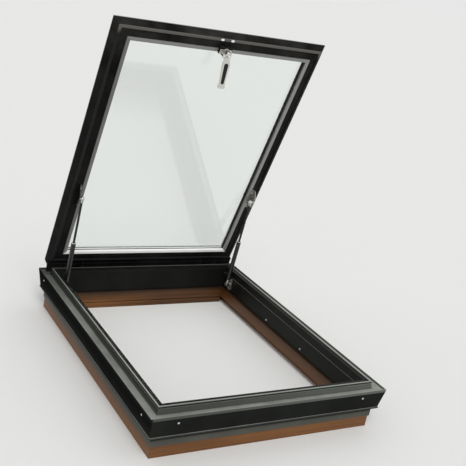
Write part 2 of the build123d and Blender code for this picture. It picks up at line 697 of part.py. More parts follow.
def strut_eye(hand):
    """Eye on the lower end of the tube."""
    ring = Rot(0, 90, 0) * Cylinder(EYE_RADIUS, EYE_WIDTH)
    body = ring + stretch(EYE_NECK, (EYE_RADIUS + STRUT_PIN_RADIUS) / 2, TUBE_FROM)
    body = body - Rot(0, 90, 0) * Cylinder(STRUT_PIN_RADIUS + STRUT_PIN_CLEARANCE, 2 * EYE_WIDTH)
    return on_strut(hand, body)


def strut_rod(hand):
    """Rod with its piston inside the tube."""
    body = stretch(ROD_RADIUS, ROD_FROM, STRUT_LENGTH - SOCKET_RADIUS)
    body = body + stretch(PISTON_RADIUS, ROD_FROM, ROD_FROM + PISTON_LENGTH)
    return on_strut(hand, body)


def strut_socket(hand):
    """Socket at the upper end of the rod, with the stud that stands on the sash bracket."""
    socket = Pos(0, 0, STRUT_LENGTH) * Rot(0, 90, 0) * Cylinder(SOCKET_RADIUS, SOCKET_WIDTH)
    socket = chamfer(socket.edges().filter_by(GeomType.CIRCLE), SOCKET_RADIUS / 4)
    collar = stretch(SOCKET_COLLAR_RADIUS, STRUT_LENGTH - 2 * SOCKET_RADIUS, STRUT_LENGTH - SOCKET_RADIUS / 2)
    bore = stretch(ROD_RADIUS, STRUT_LENGTH - 3 * SOCKET_RADIUS, STRUT_LENGTH - SOCKET_RADIUS)
    plate = WALL_X - BRACKET_WALL_GAP - BRACKET
    foot_out = hand * (plate - FOOT_GAP - STRUT_X)
    foot_in = foot_out - hand * FOOT_THICK
    neck = Pos(foot_in / 2, 0, STRUT_LENGTH) * Rot(0, 90, 0) * Cylinder(STUD_NECK_RADIUS, abs(foot_in))
    foot_middle = (foot_in + foot_out) / 2
    foot = Pos(foot_middle, 0, STRUT_LENGTH) * Rot(0, 90, 0) * Cylinder(FOOT_RADIUS, FOOT_THICK)
    return on_strut(hand, socket + collar - bore + neck + foot)


def sash_bracket(hand):
    """Angle under the stile: a screwed flange and a tapered plate that hangs beside the wall."""
    outer = WALL_X - BRACKET_WALL_GAP
    top = FRAME_DEPTH + SASH_FLOOR_RISE
    low = height(BRACKET_BOTTOM_DROP)
    shoulder = height(BRACKET_SHOULDER_DROP)
    outline = [
        (BRACKET_FROM, top), (BRACKET_TO, top), (BRACKET_TO, shoulder), (BRACKET_TO - BRACKET_TAPER, low),
        (BRACKET_FROM + BRACKET_TAPER, low), (BRACKET_FROM, shoulder),
    ]
    start = outer - BRACKET if hand > 0 else -outer
    plate = prism([(0, y, z) for y, z in outline], (1, 0, 0), BRACKET, start)
    inner = RIM_HALF_X - BRACKET_FLANGE_INSET
    flange = Pos(hand * (inner + outer) / 2, (BRACKET_FROM + BRACKET_TO) / 2, top - BRACKET / 2)
    flange = flange * Box(outer - inner, BRACKET_TO - BRACKET_FROM, BRACKET)
    return drilled(plate + flange, bracket_spots())


def strut_anchor(hand):
    """Plate on the inner wall with the pin that holds the eye of the tube."""
    z = height(FRAME_PIVOT_DROP)
    plate_x = hand * (WALL_X - ANCHOR / 2)
    plate = Pos(plate_x, FRAME_PIVOT_Y, z) * Box(ANCHOR, ANCHOR_WIDTH, ANCHOR_HEIGHT)
    plate = chamfer(plate.edges().filter_by(Axis.X), ANCHOR_WIDTH / 5)
    boss_in = STRUT_X + EYE_WIDTH / 2 + PIN_SIDE_GAP
    boss_out = WALL_X - ANCHOR
    boss = x_cylinder(STRUT_PIN_HEAD, boss_out - boss_in, hand * (boss_in + boss_out) / 2, FRAME_PIVOT_Y, z)
    pin_end = STRUT_X - EYE_WIDTH / 2 - PIN_SIDE_GAP
    pin = x_cylinder(STRUT_PIN_RADIUS, boss_in - pin_end, hand * (boss_in + pin_end) / 2, FRAME_PIVOT_Y, z)
    head_x = hand * (pin_end - PIN_HEAD_THICK / 2)
    head = x_cylinder(STRUT_PIN_HEAD, PIN_HEAD_THICK, head_x, FRAME_PIVOT_Y, z)
    return drilled(plate, anchor_spots()) + boss + pin + head


HANDLE_Y = -RIM_HALF_Y + HANDLE_INSET


def handle_case():
    """Case under the bead and the floor of the free rail, bored for the spindle."""
    front = -WALL_Y + CASE_FRONT_GAP
    step = -RIM_HALF_Y - SASH_INNER - CASE_STEP_GAP
    rear = -RIM_HALF_Y + CASE_REAR_INSET
    low = height(CASE_DROP)
    outline = [
        (front, FRAME_DEPTH + SASH_FLOOR_RISE), (step, FRAME_DEPTH + SASH_FLOOR_RISE), (step, FRAME_DEPTH),
        (rear, FRAME_DEPTH), (rear, low + CASE_CHAMFER), (rear - CASE_CHAMFER, low),
        (front + CASE_CHAMFER, low), (front, low + CASE_CHAMFER),
    ]
    body = prism([(0, y, z) for y, z in outline], (1, 0, 0), CASE_WIDTH, -CASE_WIDTH / 2)
    top = height(SPINDLE_TOP_DROP) + SPINDLE_CLEARANCE
    bore = Pos(0, HANDLE_Y, (top + low) / 2) * Cylinder(SPINDLE_RADIUS + SPINDLE_CLEARANCE, top - low)
    return body - bore


def handle_spindle():
    """Spindle with the latch cam."""
    top = height(SPINDLE_TOP_DROP)
    low = height(SPINDLE_BOTTOM_DROP)
    shaft = Pos(0, HANDLE_Y, (top + low) / 2) * Cylinder(SPINDLE_RADIUS, top - low)
    cam_z = height(CAM_TOP_DROP + CAM_THICK / 2)
    tongue = Pos(CAM_REACH / 2, HANDLE_Y, cam_z) * Box(CAM_REACH, CAM_WIDTH, CAM_THICK)
    disc = Pos(0, HANDLE_Y, cam_z) * Cylinder(CAM_REACH, CAM_THICK)
    hub = Pos(0, HANDLE_Y, cam_z) * Cylinder(CAM_HUB_RADIUS, CAM_THICK)
    return shaft + (tongue & disc) + hub


def handle_lever():
    """Lever: round hub and a falling arm with a waist and a flared tip."""
    hub_top = height(HUB_TOP_DROP)
    hub_low = height(HUB_BOTTOM_DROP)
    hub = Pos(0, HANDLE_Y, (hub_top + hub_low) / 2) * Cylinder(HUB_RADIUS, hub_top - hub_low)
    hub = chamfer(hub.edges().filter_by(GeomType.CIRCLE), HUB_RADIUS / 8)
    tip_y = HANDLE_Y + LEVER_LENGTH
    root_z = hub_low + LEVER_THICK
    side_view = [
        (HANDLE_Y, root_z), (HANDLE_Y, hub_low), (HANDLE_Y + HUB_RADIUS, hub_low),
        (tip_y, hub_low - LEVER_FALL), (tip_y, hub_low - LEVER_FALL + LEVER_TIP_THICK),
        (HANDLE_Y + HUB_RADIUS, root_z),
    ]
    arm = prism([(0, y, z) for y, z in side_view], (1, 0, 0), LEVER_TIP_WIDTH, -LEVER_TIP_WIDTH / 2)
    right = [
        (LEVER_NECK_WIDTH / 2, HANDLE_Y), (LEVER_NECK_WIDTH / 2, HANDLE_Y + HUB_RADIUS),
        (LEVER_SHOULDER_WIDTH / 2, HANDLE_Y + LEVER_SHOULDER_AT),
        (LEVER_WAIST_WIDTH / 2, HANDLE_Y + LEVER_WAIST_AT),
        (LEVER_TIP_WIDTH / 2, tip_y - LEVER_TIP_CORNER), (LEVER_TIP_WIDTH / 2 - LEVER_TIP_CORNER, tip_y),
    ]
    plan = right + [(-x, y) for x, y in reversed(right)]
    outline = prism([(x, y, 0) for x, y in plan], (0, 0, 1), FRAME_DEPTH, 0)
    seat_low = height(SPINDLE_BOTTOM_DROP)
    seat = Pos(0, HANDLE_Y, (seat_low + hub_top) / 2) * Cylinder(SPINDLE_RADIUS, hub_top - seat_low)
    return hub + (arm & outline) - seat - lever_groove(hub_low)


def lever_groove(face):
    """Shallow groove along the falling face of the arm; face is the height where the face starts."""
    fall = LEVER_FALL / (LEVER_LENGTH - HUB_RADIUS)
    start = HANDLE_Y + LEVER_GROOVE_FROM
    stop = HANDLE_Y + LEVER_GROOVE_TO
    start_z = face - fall * (LEVER_GROOVE_FROM - HUB_RADIUS)
    stop_z = face - fall * (LEVER_GROOVE_TO - HUB_RADIUS)
    outline = [
        (start, start_z + LEVER_GROOVE_DEPTH), (stop, stop_z + LEVER_GROOVE_DEPTH),
        (stop, stop_z - LEVER_GROOVE_DEPTH), (start, start_z - LEVER_GROOVE_DEPTH),
    ]
    points = [(0, y, z) for y, z in outline]
    return prism(points, (1, 0, 0), LEVER_GROOVE_WIDTH, -LEVER_GROOVE_WIDTH / 2)


def keeper():
    """Plate on the front wall with a ledge that the cam turns under."""
    wall = -WALL_Y
    face = wall + KEEPER_PLATE
    top = height(KEEPER_TOP_DROP)
    outline = [
        (wall, height(KEEPER_BOTTOM_DROP)), (face, height(KEEPER_BOTTOM_DROP)), (face, top - KEEPER_LEDGE),
        (face + KEEPER_REACH, top - KEEPER_LEDGE), (face + KEEPER_REACH, top), (wall, top),
    ]
    body = prism([(0, y, z) for y, z in outline], (1, 0, 0), KEEPER_WIDTH, -KEEPER_WIDTH / 2)
    return drilled(body, keeper_spots())


def screws(spots):
    return [screw(position, direction).solid() for position, direction in spots]


def seal_studs():
    return [
        opened(screw(position, direction, SEAL_STUD_RADIUS, SEAL_STUD_HEAD).solid())
        for position, direction in seal_stud_spots()
    ]


def save(node, part):
    """Write a piece of the frame or of a strut as one solid."""
    export_step(part.solid(), "parts/" + node + ".step")


def save_opened(node, part):
    """Write a piece of the sash as one solid, moved to the open position."""
    export_step(opened(part.solid()), "parts/" + node + ".step")


def save_group(node, solids):
    """Write separate solids that share a node."""
    export_step(Compound(children=solids), "parts/" + node + ".step")


NAMES = {"front": "sill", "rear": "head", "left": "jamb_left", "right": "jamb_right"}
MEMBERS = {"front": "rail_front", "rear": "rail_rear", "left": "stile_left", "right": "stile_right"}
frame_spots = apron_spots() + wall_spots() + keeper_spots() + anchor_spots() + foot_spots()
closed_spots = leaf_spots() + bracket_spots() + seal_stud_spots()

for side in SIDES:
    save("timber_" + NAMES[side], drilled(frame_member(timber_profile(), side), frame_spots))
    save("cladding_" + side, drilled(frame_member(cladding_profile(), side), frame_spots))
    save("collar_" + side, frame_member(collar_profile(), side))
    save("inner_wall_" + side, drilled(frame_member(liner_profile(WALL_BEADS[side]), side), frame_spots))
    save_opened("sash_" + MEMBERS[side], drilled(sash_member(side), closed_spots))
    save_opened("glazing_bead_" + side, glazing_bead(side))

save("head_lining_board", head_lining())
save("keeper", keeper())
save_group("hinge_cover", hinge_cover())
save_group("apron_screws", screws(apron_spots()))
save_group("frame_screws", screws(wall_spots() + keeper_spots() + anchor_spots() + foot_spots()))

save_opened("pane_inner", pane(INNER_PANE_LOW))
save_opened("pane_outer", pane(OUTER_PANE_LOW))
save_opened("spacer_bar", spacer_bar())
save_opened("glazing_gasket_inner", glazing_gasket(FRAME_DEPTH + BEAD_HEIGHT, INNER_GASKET))
save_opened("glazing_gasket_outer", glazing_gasket(OUTER_PANE_LOW + PANE, OUTER_GASKET))
save_opened("sash_seal", sash_seal())
save_opened("handle_case", handle_case())
save_opened("handle_spindle", handle_spindle())
save_opened("handle_lever", handle_lever())
save_group("hinge_leaf_screws", [opened(item) for item in screws(leaf_spots())])
save_group("bracket_screws", [opened(item) for item in screws(bracket_spots())])
save_group("lip_studs", seal_studs())

for name, hand in HANDS.items():
    save("hinge_foot_" + name, hinge_frame_leaf(hand))
    save("hinge_pin_" + name, hinge_pin(hand))
    save_opened("hinge_leaf_" + name, hinge_sash_leaf(hand))
    save_opened("strut_bracket_" + name, sash_bracket(hand))
    save("strut_anchor_" + name, strut_anchor(hand))
    save("strut_tube_" + name, strut_tube(hand))
    save("strut_eye_" + name, strut_eye(hand))
    save("strut_rod_" + name, strut_rod(hand))
    save("strut_socket_" + name, strut_socket(hand))
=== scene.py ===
# %% [markdown]
# A top-hung roof window. A pine frame sits in the roof, dressed outside in dark coated aluminium, and a
# glazed sash turns up on hinges at the top edge until two telescopic struts hold it open. The solids are
# already there with their real sizes, so this script only dresses them: it lights them, rounds their
# edges, gives each one its finish, and adds the small things that a drawing of the structure leaves out.

# %% Load the solids
import json
from math import atan, cos, pi, radians, sin

import bmesh
import bpy
from mathutils import Matrix, Vector

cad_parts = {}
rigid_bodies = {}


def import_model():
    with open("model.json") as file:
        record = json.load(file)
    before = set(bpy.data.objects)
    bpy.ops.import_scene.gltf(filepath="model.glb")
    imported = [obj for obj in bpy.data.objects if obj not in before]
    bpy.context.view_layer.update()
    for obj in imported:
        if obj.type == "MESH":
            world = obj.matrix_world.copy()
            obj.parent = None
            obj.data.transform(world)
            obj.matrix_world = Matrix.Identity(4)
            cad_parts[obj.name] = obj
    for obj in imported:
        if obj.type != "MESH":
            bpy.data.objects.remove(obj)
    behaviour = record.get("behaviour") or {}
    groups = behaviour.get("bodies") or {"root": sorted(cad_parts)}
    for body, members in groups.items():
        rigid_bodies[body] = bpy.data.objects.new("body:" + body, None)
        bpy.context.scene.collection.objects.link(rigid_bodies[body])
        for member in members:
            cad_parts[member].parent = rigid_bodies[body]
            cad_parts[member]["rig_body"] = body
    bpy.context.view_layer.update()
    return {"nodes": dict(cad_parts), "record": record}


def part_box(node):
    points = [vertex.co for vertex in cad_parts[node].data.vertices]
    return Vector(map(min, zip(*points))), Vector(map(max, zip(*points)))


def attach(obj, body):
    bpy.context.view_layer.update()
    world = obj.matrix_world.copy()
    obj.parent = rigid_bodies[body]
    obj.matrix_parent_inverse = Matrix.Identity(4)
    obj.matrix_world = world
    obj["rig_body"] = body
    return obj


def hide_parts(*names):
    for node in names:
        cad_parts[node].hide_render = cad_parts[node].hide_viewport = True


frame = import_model()
MM = 0.001
JOINTS = {joint["name"]: joint for joint in frame["record"]["behaviour"]["joints"]}
HINGE = Vector(JOINTS["sash_hinge"]["pos_m"])
OPEN_ANGLE = radians(JOINTS["sash_hinge"]["range_deg"][1])

# %% [markdown]
# The camera stands where the photographer stood: low at the front left corner, looking along the slope
# with the camera turned a little. A studio shot could use a straight camera, but then no line would
# fall where it does in the picture. The lens is long for the frame, so that the lines converge gently.

# %% Camera
CAMERA_PLACE = Vector((-1.28578, -2.09781, 1.26660))
CAMERA_TURN = (radians(71.6313), radians(-10.5848), radians(-29.1108))
LENS_MM = 63.893
SENSOR_MM = 36

camera_data = bpy.data.cameras.new("photo_camera")
camera_data.lens = LENS_MM
camera_data.sensor_width = SENSOR_MM
camera_data.clip_end = 200
camera = bpy.data.objects.new("photo_camera", camera_data)
camera.location = CAMERA_PLACE
camera.rotation_euler = CAMERA_TURN
bpy.context.scene.collection.objects.link(camera)
bpy.context.scene.camera = camera
bpy.context.scene.view_settings.view_transform = "Standard"
print("camera", tuple(round(v, 3) for v in camera.location), "lens", LENS_MM)

# %% [markdown]
# Colours are written as they look on a screen, from 0 to 255, because that is how a finish is compared
# with a picture. Blender wants linear light, so one small function turns the one into the other.


# %% Colours as seen
def seen(red, green, blue):
    """Linear colour of a shade that is given as it shows on a screen."""
    def linear(value):
        share = value / 255
        return share / 12.92 if share <= 0.04045 else ((share + 0.055) / 1.055) ** 2.4
    return (linear(red), linear(green), linear(blue), 1.0)


print("middle grey", [round(v, 3) for v in seen(128, 128, 128)])

# %% [markdown]
# The sky and the finishes are built from a few small helpers, so that each one reads as a short recipe:
# where the pattern is measured, which noise it uses, and what colours it runs between. All patterns are
# measured in metres on the object itself, so they stay on a piece when the sash or the handle turns.


# %% Node helpers
def feed(tree, socket, value):
    """Set a socket to a constant, or link it where the value is another node's."""
    if hasattr(value, "is_output"):
        tree.links.new(value, socket)
    else:
        socket.default_value = value


def place_on_object(tree, scale=(1, 1, 1), turn=(0, 0, 0)):
    """Object coordinates, stretched and turned."""
    coordinates = tree.nodes.new("ShaderNodeTexCoord")
    mapping = tree.nodes.new("ShaderNodeMapping")
    mapping.inputs["Scale"].default_value = scale
    mapping.inputs["Rotation"].default_value = turn
    tree.links.new(coordinates.outputs["Object"], mapping.inputs["Vector"])
    return mapping.outputs["Vector"]


def stretched(tree, vector, scale):
    """A vector stretched by its own scale along each axis."""
    mapping = tree.nodes.new("ShaderNodeMapping")
    mapping.inputs["Scale"].default_value = scale
    tree.links.new(vector, mapping.inputs["Vector"])
    return mapping.outputs["Vector"]


def noise(tree, vector, scale, detail=3.0, roughness=0.5):
    node = tree.nodes.new("ShaderNodeTexNoise")
    tree.links.new(vector, node.inputs["Vector"])
    node.inputs["Detail"].default_value = detail
    node.inputs["Roughness"].default_value = roughness
    feed(tree, node.inputs["Scale"], scale)
    return node.outputs["Fac"]


def between(tree, value, low, high, new_low=0.0, new_high=1.0):
    """Stretch of a value moved to a new range and held at its ends."""
    node = tree.nodes.new("ShaderNodeMapRange")
    tree.links.new(value, node.inputs["Value"])
    for name, number in zip(("From Min", "From Max", "To Min", "To Max"), (low, high, new_low, new_high)):
        feed(tree, node.inputs[name], number)
    return node.outputs["Result"]


def calculate(tree, operation, first, second=0.0):
    node = tree.nodes.new("ShaderNodeMath")
    node.operation = operation
    feed(tree, node.inputs[0], first)
    feed(tree, node.inputs[1], second)
    return node.outputs[0]


def times(tree, first, second):
    return calculate(tree, "MULTIPLY", first, second)


def plus(tree, first, second):
    return calculate(tree, "ADD", first, second)


def blend(tree, share, first, second):
    """Colour between two colours."""
    node = tree.nodes.new("ShaderNodeMix")
    node.data_type = "RGBA"
    feed(tree, node.inputs["Factor"], share)
    colours = [s for s in node.inputs if s.type == "RGBA"]
    feed(tree, colours[0], first)
    feed(tree, colours[1], second)
    return [s for s in node.outputs if s.type == "RGBA"][0]


def bumped(tree, height, distance):
    node = tree.nodes.new("ShaderNodeBump")
    node.inputs["Distance"].default_value = distance
    tree.links.new(height, node.inputs["Height"])
    return node.outputs["Normal"]


def new_finish(name):
    """Material with its tree and its shader."""
    material = bpy.data.materials.new(name)
    material.use_nodes = True
    tree = material.node_tree
    return material, tree, tree.nodes["Principled BSDF"]


print("node helpers ready")

# %% [markdown]
# Metal and glass look like what they reflect. An even white room makes them flat, and a single hard lamp
# makes them harsh. Here an even sky fills the shadows, and one wide sun, high in front and a little to the
# left, gives each edge a bright side. The camera, reflections and the glass see the same pale backdrop.

# %% Light
SKY_FILL = 0.62
BACKDROP = 0.80
SUN_STRENGTH = 1.35
SUN_SPREAD = radians(28)
SUN_TURN = (radians(38), 0, radians(-18))


def make_sky():
    world = bpy.data.worlds.new("studio_sky")
    world.use_nodes = True
    tree = world.node_tree
    background = tree.nodes["Background"]
    background.inputs["Color"].default_value = (1, 1, 1, 1)
    rays = tree.nodes.new("ShaderNodeLightPath").outputs
    direct = calculate(tree, "MAXIMUM", rays["Is Camera Ray"], rays["Is Glossy Ray"])
    direct = calculate(tree, "MAXIMUM", direct, rays["Is Transmission Ray"])
    level = between(tree, direct, 0.0, 1.0, SKY_FILL, BACKDROP)
    tree.links.new(level, background.inputs["Strength"])
    return world


def make_sun():
    data = bpy.data.lights.new("soft_sun", "SUN")
    data.energy = SUN_STRENGTH
    data.angle = SUN_SPREAD
    sun = bpy.data.objects.new("soft_sun", data)
    sun.rotation_euler = SUN_TURN
    bpy.context.scene.collection.objects.link(sun)
    return sun


bpy.context.scene.world = make_sky()
soft_sun = make_sun()
print("sky", bpy.context.scene.world.name, "sun", soft_sun.name, round(soft_sun.data.energy, 2))

# %% [markdown]
# The window stands on a plain pale floor, like a product in a studio. A floor that ends would draw a horizon,
# so one sheet is made far wider than the picture can see. It is only a stage and not a piece of the window.

# %% Floor
FLOOR_REACH = 60.0


def make_floor():
    mesh = bpy.data.meshes.new("studio_floor")
    bm = bmesh.new()
    bmesh.ops.create_grid(bm, x_segments=1, y_segments=1, size=FLOOR_REACH)
    bm.to_mesh(mesh)
    bm.free()
    floor = bpy.data.objects.new("studio_floor", mesh)
    bpy.context.scene.collection.objects.link(floor)
    material, _, shader = new_finish("studio_floor")
    shader.inputs["Base Color"].default_value = seen(236, 236, 234)
    shader.inputs["Roughness"].default_value = 0.9
    shader.inputs["Specular IOR Level"].default_value = 0.1
    mesh.materials.append(material)
    return floor


studio_floor = make_floor()
print("floor", studio_floor.name)

# %% [markdown]
# Four effects come back in several finishes. Powder coat has a fine orange-peel skin. Dust settles as pale
# specks and faint patches. Brushing leaves fine lines along a profile. Pine has growth rings that run along
# the board, with finer fibres in between. Each is a node group, so that a finish only sets its numbers.


# %% Groups of nodes
def new_group(name, inputs, outputs):
    group = bpy.data.node_groups.new(name, "ShaderNodeTree")
    for label, kind, value in inputs:
        socket = group.interface.new_socket(name=label, in_out="INPUT", socket_type=kind)
        if value is not None:
            socket.default_value = value
    for label, kind in outputs:
        group.interface.new_socket(name=label, in_out="OUTPUT", socket_type=kind)
    return group, group.nodes.new("NodeGroupInput"), group.nodes.new("NodeGroupOutput")


def make_dust_group():
    """Pale specks and faint patches; the share grows with Amount."""
    inputs = [("Vector", "NodeSocketVector", None), ("Speck Scale", "NodeSocketFloat", 900.0),
              ("Amount", "NodeSocketFloat", 0.3)]
    group, start, end = new_group("settled_dust", inputs, [("Dust", "NodeSocketFloat")])
    vector = start.outputs["Vector"]
    specks = noise(group, vector, start.outputs["Speck Scale"], 2.0)
    specks = between(group, specks, 0.60, 0.74)
    patches = between(group, noise(group, vector, 9.0, 4.0, 0.6), 0.35, 0.75)
    haze = times(group, patches, 0.45)
    dust = plus(group, haze, times(group, specks, patches))
    group.links.new(times(group, dust, start.outputs["Amount"]), end.inputs["Dust"])
    return group


def make_skin_group():
    """Fine orange-peel skin of a coated or moulded surface."""
    inputs = [("Vector", "NodeSocketVector", None), ("Grain Scale", "NodeSocketFloat", 1400.0)]
    group, start, end = new_group("coat_skin", inputs, [("Height", "NodeSocketFloat")])
    grain = noise(group, start.outputs["Vector"], start.outputs["Grain Scale"], 2.0, 0.6)
    group.links.new(grain, end.inputs["Height"])
    return group


def make_brushed_group():
    """Fine lines left by drawing or brushing a metal; the vector is already stretched along them."""
    inputs = [("Vector", "NodeSocketVector", None), ("Low Roughness", "NodeSocketFloat", 0.25),
              ("High Roughness", "NodeSocketFloat", 0.45)]
    outputs = [("Lines", "NodeSocketFloat"), ("Roughness", "NodeSocketFloat")]
    group, start, end = new_group("brushed_lines", inputs, outputs)
    lines = noise(group, start.outputs["Vector"], 1.0, 3.0, 0.6)
    rough = between(group, lines, 0.3, 0.7, start.outputs["Low Roughness"], start.outputs["High Roughness"])
    group.links.new(lines, end.inputs["Lines"])
    group.links.new(rough, end.inputs["Roughness"])
    return group


def make_pine_group():
    """Growth lines and fibres of pine; the grain runs along the vector's X."""
    inputs = [("Vector", "NodeSocketVector", None), ("Early Wood", "NodeSocketColor", seen(205, 150, 88)),
              ("Late Wood", "NodeSocketColor", seen(150, 92, 44))]
    outputs = [("Color", "NodeSocketColor"), ("Height", "NodeSocketFloat"), ("Rings", "NodeSocketFloat")]
    group, start, end = new_group("pine_grain", inputs, outputs)
    vector = start.outputs["Vector"]
    broad = between(group, noise(group, stretched(group, vector, (0.9, 26, 26)), 1.0, 2.0), 0.3, 0.7)
    lines = noise(group, stretched(group, vector, (1.6, 190, 190)), 1.0, 3.0, 0.6)
    late = between(group, lines, 0.44, 0.66)
    fine = noise(group, stretched(group, vector, (18, 900, 900)), 1.0, 3.0, 0.65)
    tone = between(group, fine, 0.25, 0.75, -0.16, 0.16)
    ring_share = times(group, late, between(group, broad, 0.0, 1.0, 0.35, 0.95))
    share = plus(group, ring_share, tone)
    colour = blend(group, share, start.outputs["Early Wood"], start.outputs["Late Wood"])
    height = plus(group, times(group, late, 0.4), fine)
    group.links.new(colour, end.inputs["Color"])
    group.links.new(height, end.inputs["Height"])
    group.links.new(late, end.inputs["Rings"])
    return group


dust_group = make_dust_group()
skin_group = make_skin_group()
brushed_group = make_brushed_group()
pine_group = make_pine_group()
print("groups", [group.name for group in bpy.data.node_groups])

# %% [markdown]
# A finish takes a group like one node. The first function below drops it in, links the place on the object
# and sets the numbers by name. Paint, coat and rubber all end alike, so the other two give them their dust
# and then link what was mixed to the shader, with the fine skin as a bump.


# %% Put a group into a finish
def use_group(tree, group, vector, **values):
    """Group node with its vector linked and its inputs set; a space in a name is written as an underscore."""
    node = tree.nodes.new("ShaderNodeGroup")
    node.node_tree = group
    tree.links.new(vector, node.inputs["Vector"])
    for name, value in values.items():
        feed(tree, node.inputs[name.replace("_", " ")], value)
    return node


def dust_on(tree, vector, specks, amount):
    return use_group(tree, dust_group, vector, Speck_Scale=specks, Amount=amount).outputs["Dust"]


def coat(tree, shader, vector, colour, rough, shine, grain, depth):
    """Link a mixed colour and roughness, and give the shader its shine and its skin."""
    tree.links.new(colour, shader.inputs["Base Color"])
    tree.links.new(rough, shader.inputs["Roughness"])
    shader.inputs["Specular IOR Level"].default_value = shine
    skin = use_group(tree, skin_group, vector, Grain_Scale=grain)
    tree.links.new(bumped(tree, skin.outputs["Height"], depth), shader.inputs["Normal"])


print("ready to mix", len(bpy.data.node_groups), "groups into finishes")

# %% [markdown]
# The outside skin is aluminium in a dark grey-green coat. It is nearly black where it stands upright, and
# looks grey on its level faces, because dust lies there and because they are painted paler as painted sky
# light. The dust follows the surface's own direction: only a face that looks up carries it. Rain leaves silt
# in the channel, which is painted paler towards the right as a painted sheen. The rim top and the hem get a
# painted highlight line. The outer left face and a band under the rim are painted darker as painted shade,
# and so is the part near the hinges, as painted shadow of the open sash. These are masks by place on the
# frame.


# %% Coated metal of the frame
RIM_TOP = 150 * MM
CHANNEL_LOW = 128.2 * MM
HEM_LOW, HEM_HIGH = 70.5 * MM, 72.5 * MM
# Towards the hinges the pale share fades over the span below and drops again past this line, as painted
# shadow of the open sash.
SASH_SHADOW_FROM = 440 * MM
SASH_SHADE_FADE = (120 * MM, 400 * MM)
# Span along X over which the channel's silt is painted paler, as a painted sheen.
SILT_SHEEN_SPAN = (-200 * MM, 250 * MM)
LEFT_FACE = (-386 * MM, -382 * MM)
MITRE_SHIFT = 100 * MM
COLLAR_SHADOW = (53 * MM, 58 * MM)


def object_parts(tree, output):
    """X, Y and Z of an object coordinate or of the object's own normal."""
    coordinates = tree.nodes.new("ShaderNodeTexCoord")
    parts = tree.nodes.new("ShaderNodeSeparateXYZ")
    tree.links.new(coordinates.outputs[output], parts.inputs["Vector"])
    return parts.outputs["X"], parts.outputs["Y"], parts.outputs["Z"]


def facing_up(tree, low=0.35, high=0.95):
    """How far a surface looks up while the sash stands open, from 0 to 1."""
    return between(tree, object_parts(tree, "Normal")[2], low, high)


def window_of(tree, value, low, high, edge=0.4 * MM):
    """Mask that is 1 between two values."""
    rises = between(tree, value, low - edge, low + edge)
    falls = between(tree, value, high - edge, high + edge, 1.0, 0.0)
    return times(tree, rises, falls)


def make_cladding_finish():
    material, tree, shader = new_finish("coated_cladding")
    vector = place_on_object(tree)
    level = facing_up(tree)
    across, along, height = object_parts(tree, "Object")
    weathered = between(tree, height, CHANNEL_LOW, CHANNEL_LOW + 0.6 * MM)
    # Painted highlight along the top edge of the rim, on its level face, with the dust.
    rim = times(tree, level, between(tree, height, RIM_TOP - 1.6 * MM, RIM_TOP - 1.0 * MM))
    # Painted highlight line along the hem.
    hem = window_of(tree, height, HEM_LOW, HEM_HIGH)
    dust = dust_on(tree, vector, 520.0, 0.7)
    share = times(tree, dust, between(tree, level, 0.0, 1.0, 0.05, 1.0))
    # Silt in the channel, painted paler towards the right as a painted sheen.
    silt_and_sheen = between(tree, across, *SILT_SHEEN_SPAN, 0.20, 0.32)
    # Level faces get a paler share for dust and as painted sky light; rim and hem get painted highlights.
    for mask, weight in ((weathered, silt_and_sheen), (level, 0.36), (rim, 0.26), (hem, 0.16)):
        share = plus(tree, share, times(tree, mask, weight))
    # Painted shade: the outer left face keeps little of the pale share and gets a darker tone.
    shaded_left_face = between(tree, across, *LEFT_FACE, 1.0, 0.0)
    shaded_left_face = times(tree, shaded_left_face, between(tree, level, 0.0, 0.5, 1.0, 0.0))
    # Painted shade in a band under the rim, wider on the sides than at the front and back.
    aside, reach = calculate(tree, "ABSOLUTE", across), calculate(tree, "ABSOLUTE", along)
    on_side = calculate(tree, "GREATER_THAN", plus(tree, aside, MITRE_SHIFT), reach)
    start = between(tree, on_side, 0.0, 1.0, RIM_TOP - 7 * MM, RIM_TOP - 22 * MM)
    shade_under_rim = calculate(tree, "SUBTRACT", between(tree, height, start, RIM_TOP - 3 * MM), level)
    # Masks that take the pale share away, all of them painted shade or shadow.
    shaded_parts = ((shade_under_rim, 0.0, 1.0, 0.1), (shaded_left_face, 0.0, 1.0, 0.1), (along, *SASH_SHADE_FADE, 0.45),
             (along, SASH_SHADOW_FROM, SASH_SHADOW_FROM + 6 * MM, 0.56))
    for value, low, high, rest in shaded_parts:
        share = times(tree, share, between(tree, value, low, high, 1.0, rest))
    tone = blend(tree, between(tree, noise(tree, vector, 3.0), 0.3, 0.7), seen(27, 28, 27), seen(37, 39, 37))
    # Darker tone on the outer left face, as painted shade.
    tone = blend(tree, shaded_left_face, tone, seen(23, 24, 23))
    coat(tree, shader, vector, blend(tree, share, tone, seen(160, 164, 156)),
         between(tree, share, 0.0, 0.6, 0.36, 0.62), 0.0, 1300.0, 0.06 * MM)
    return material


def make_collar_finish():
    material, tree, shader = new_finish("coated_collar")
    vector = place_on_object(tree)
    dust = dust_on(tree, vector, 700.0, 0.5)
    colour = blend(tree, dust, seen(76, 76, 71), seen(122, 121, 112))
    shadow = between(tree, object_parts(tree, "Object")[2], *COLLAR_SHADOW, 0.0, 0.85)
    coat(tree, shader, vector, blend(tree, shadow, colour, seen(16, 17, 16)),
         between(tree, dust, 0.0, 0.5, 0.38, 0.6), 0.1, 1600.0, 0.05 * MM)
    return material


cladding_finish = make_cladding_finish()
collar_finish = make_collar_finish()
print("finishes", cladding_finish.name, collar_finish.name)

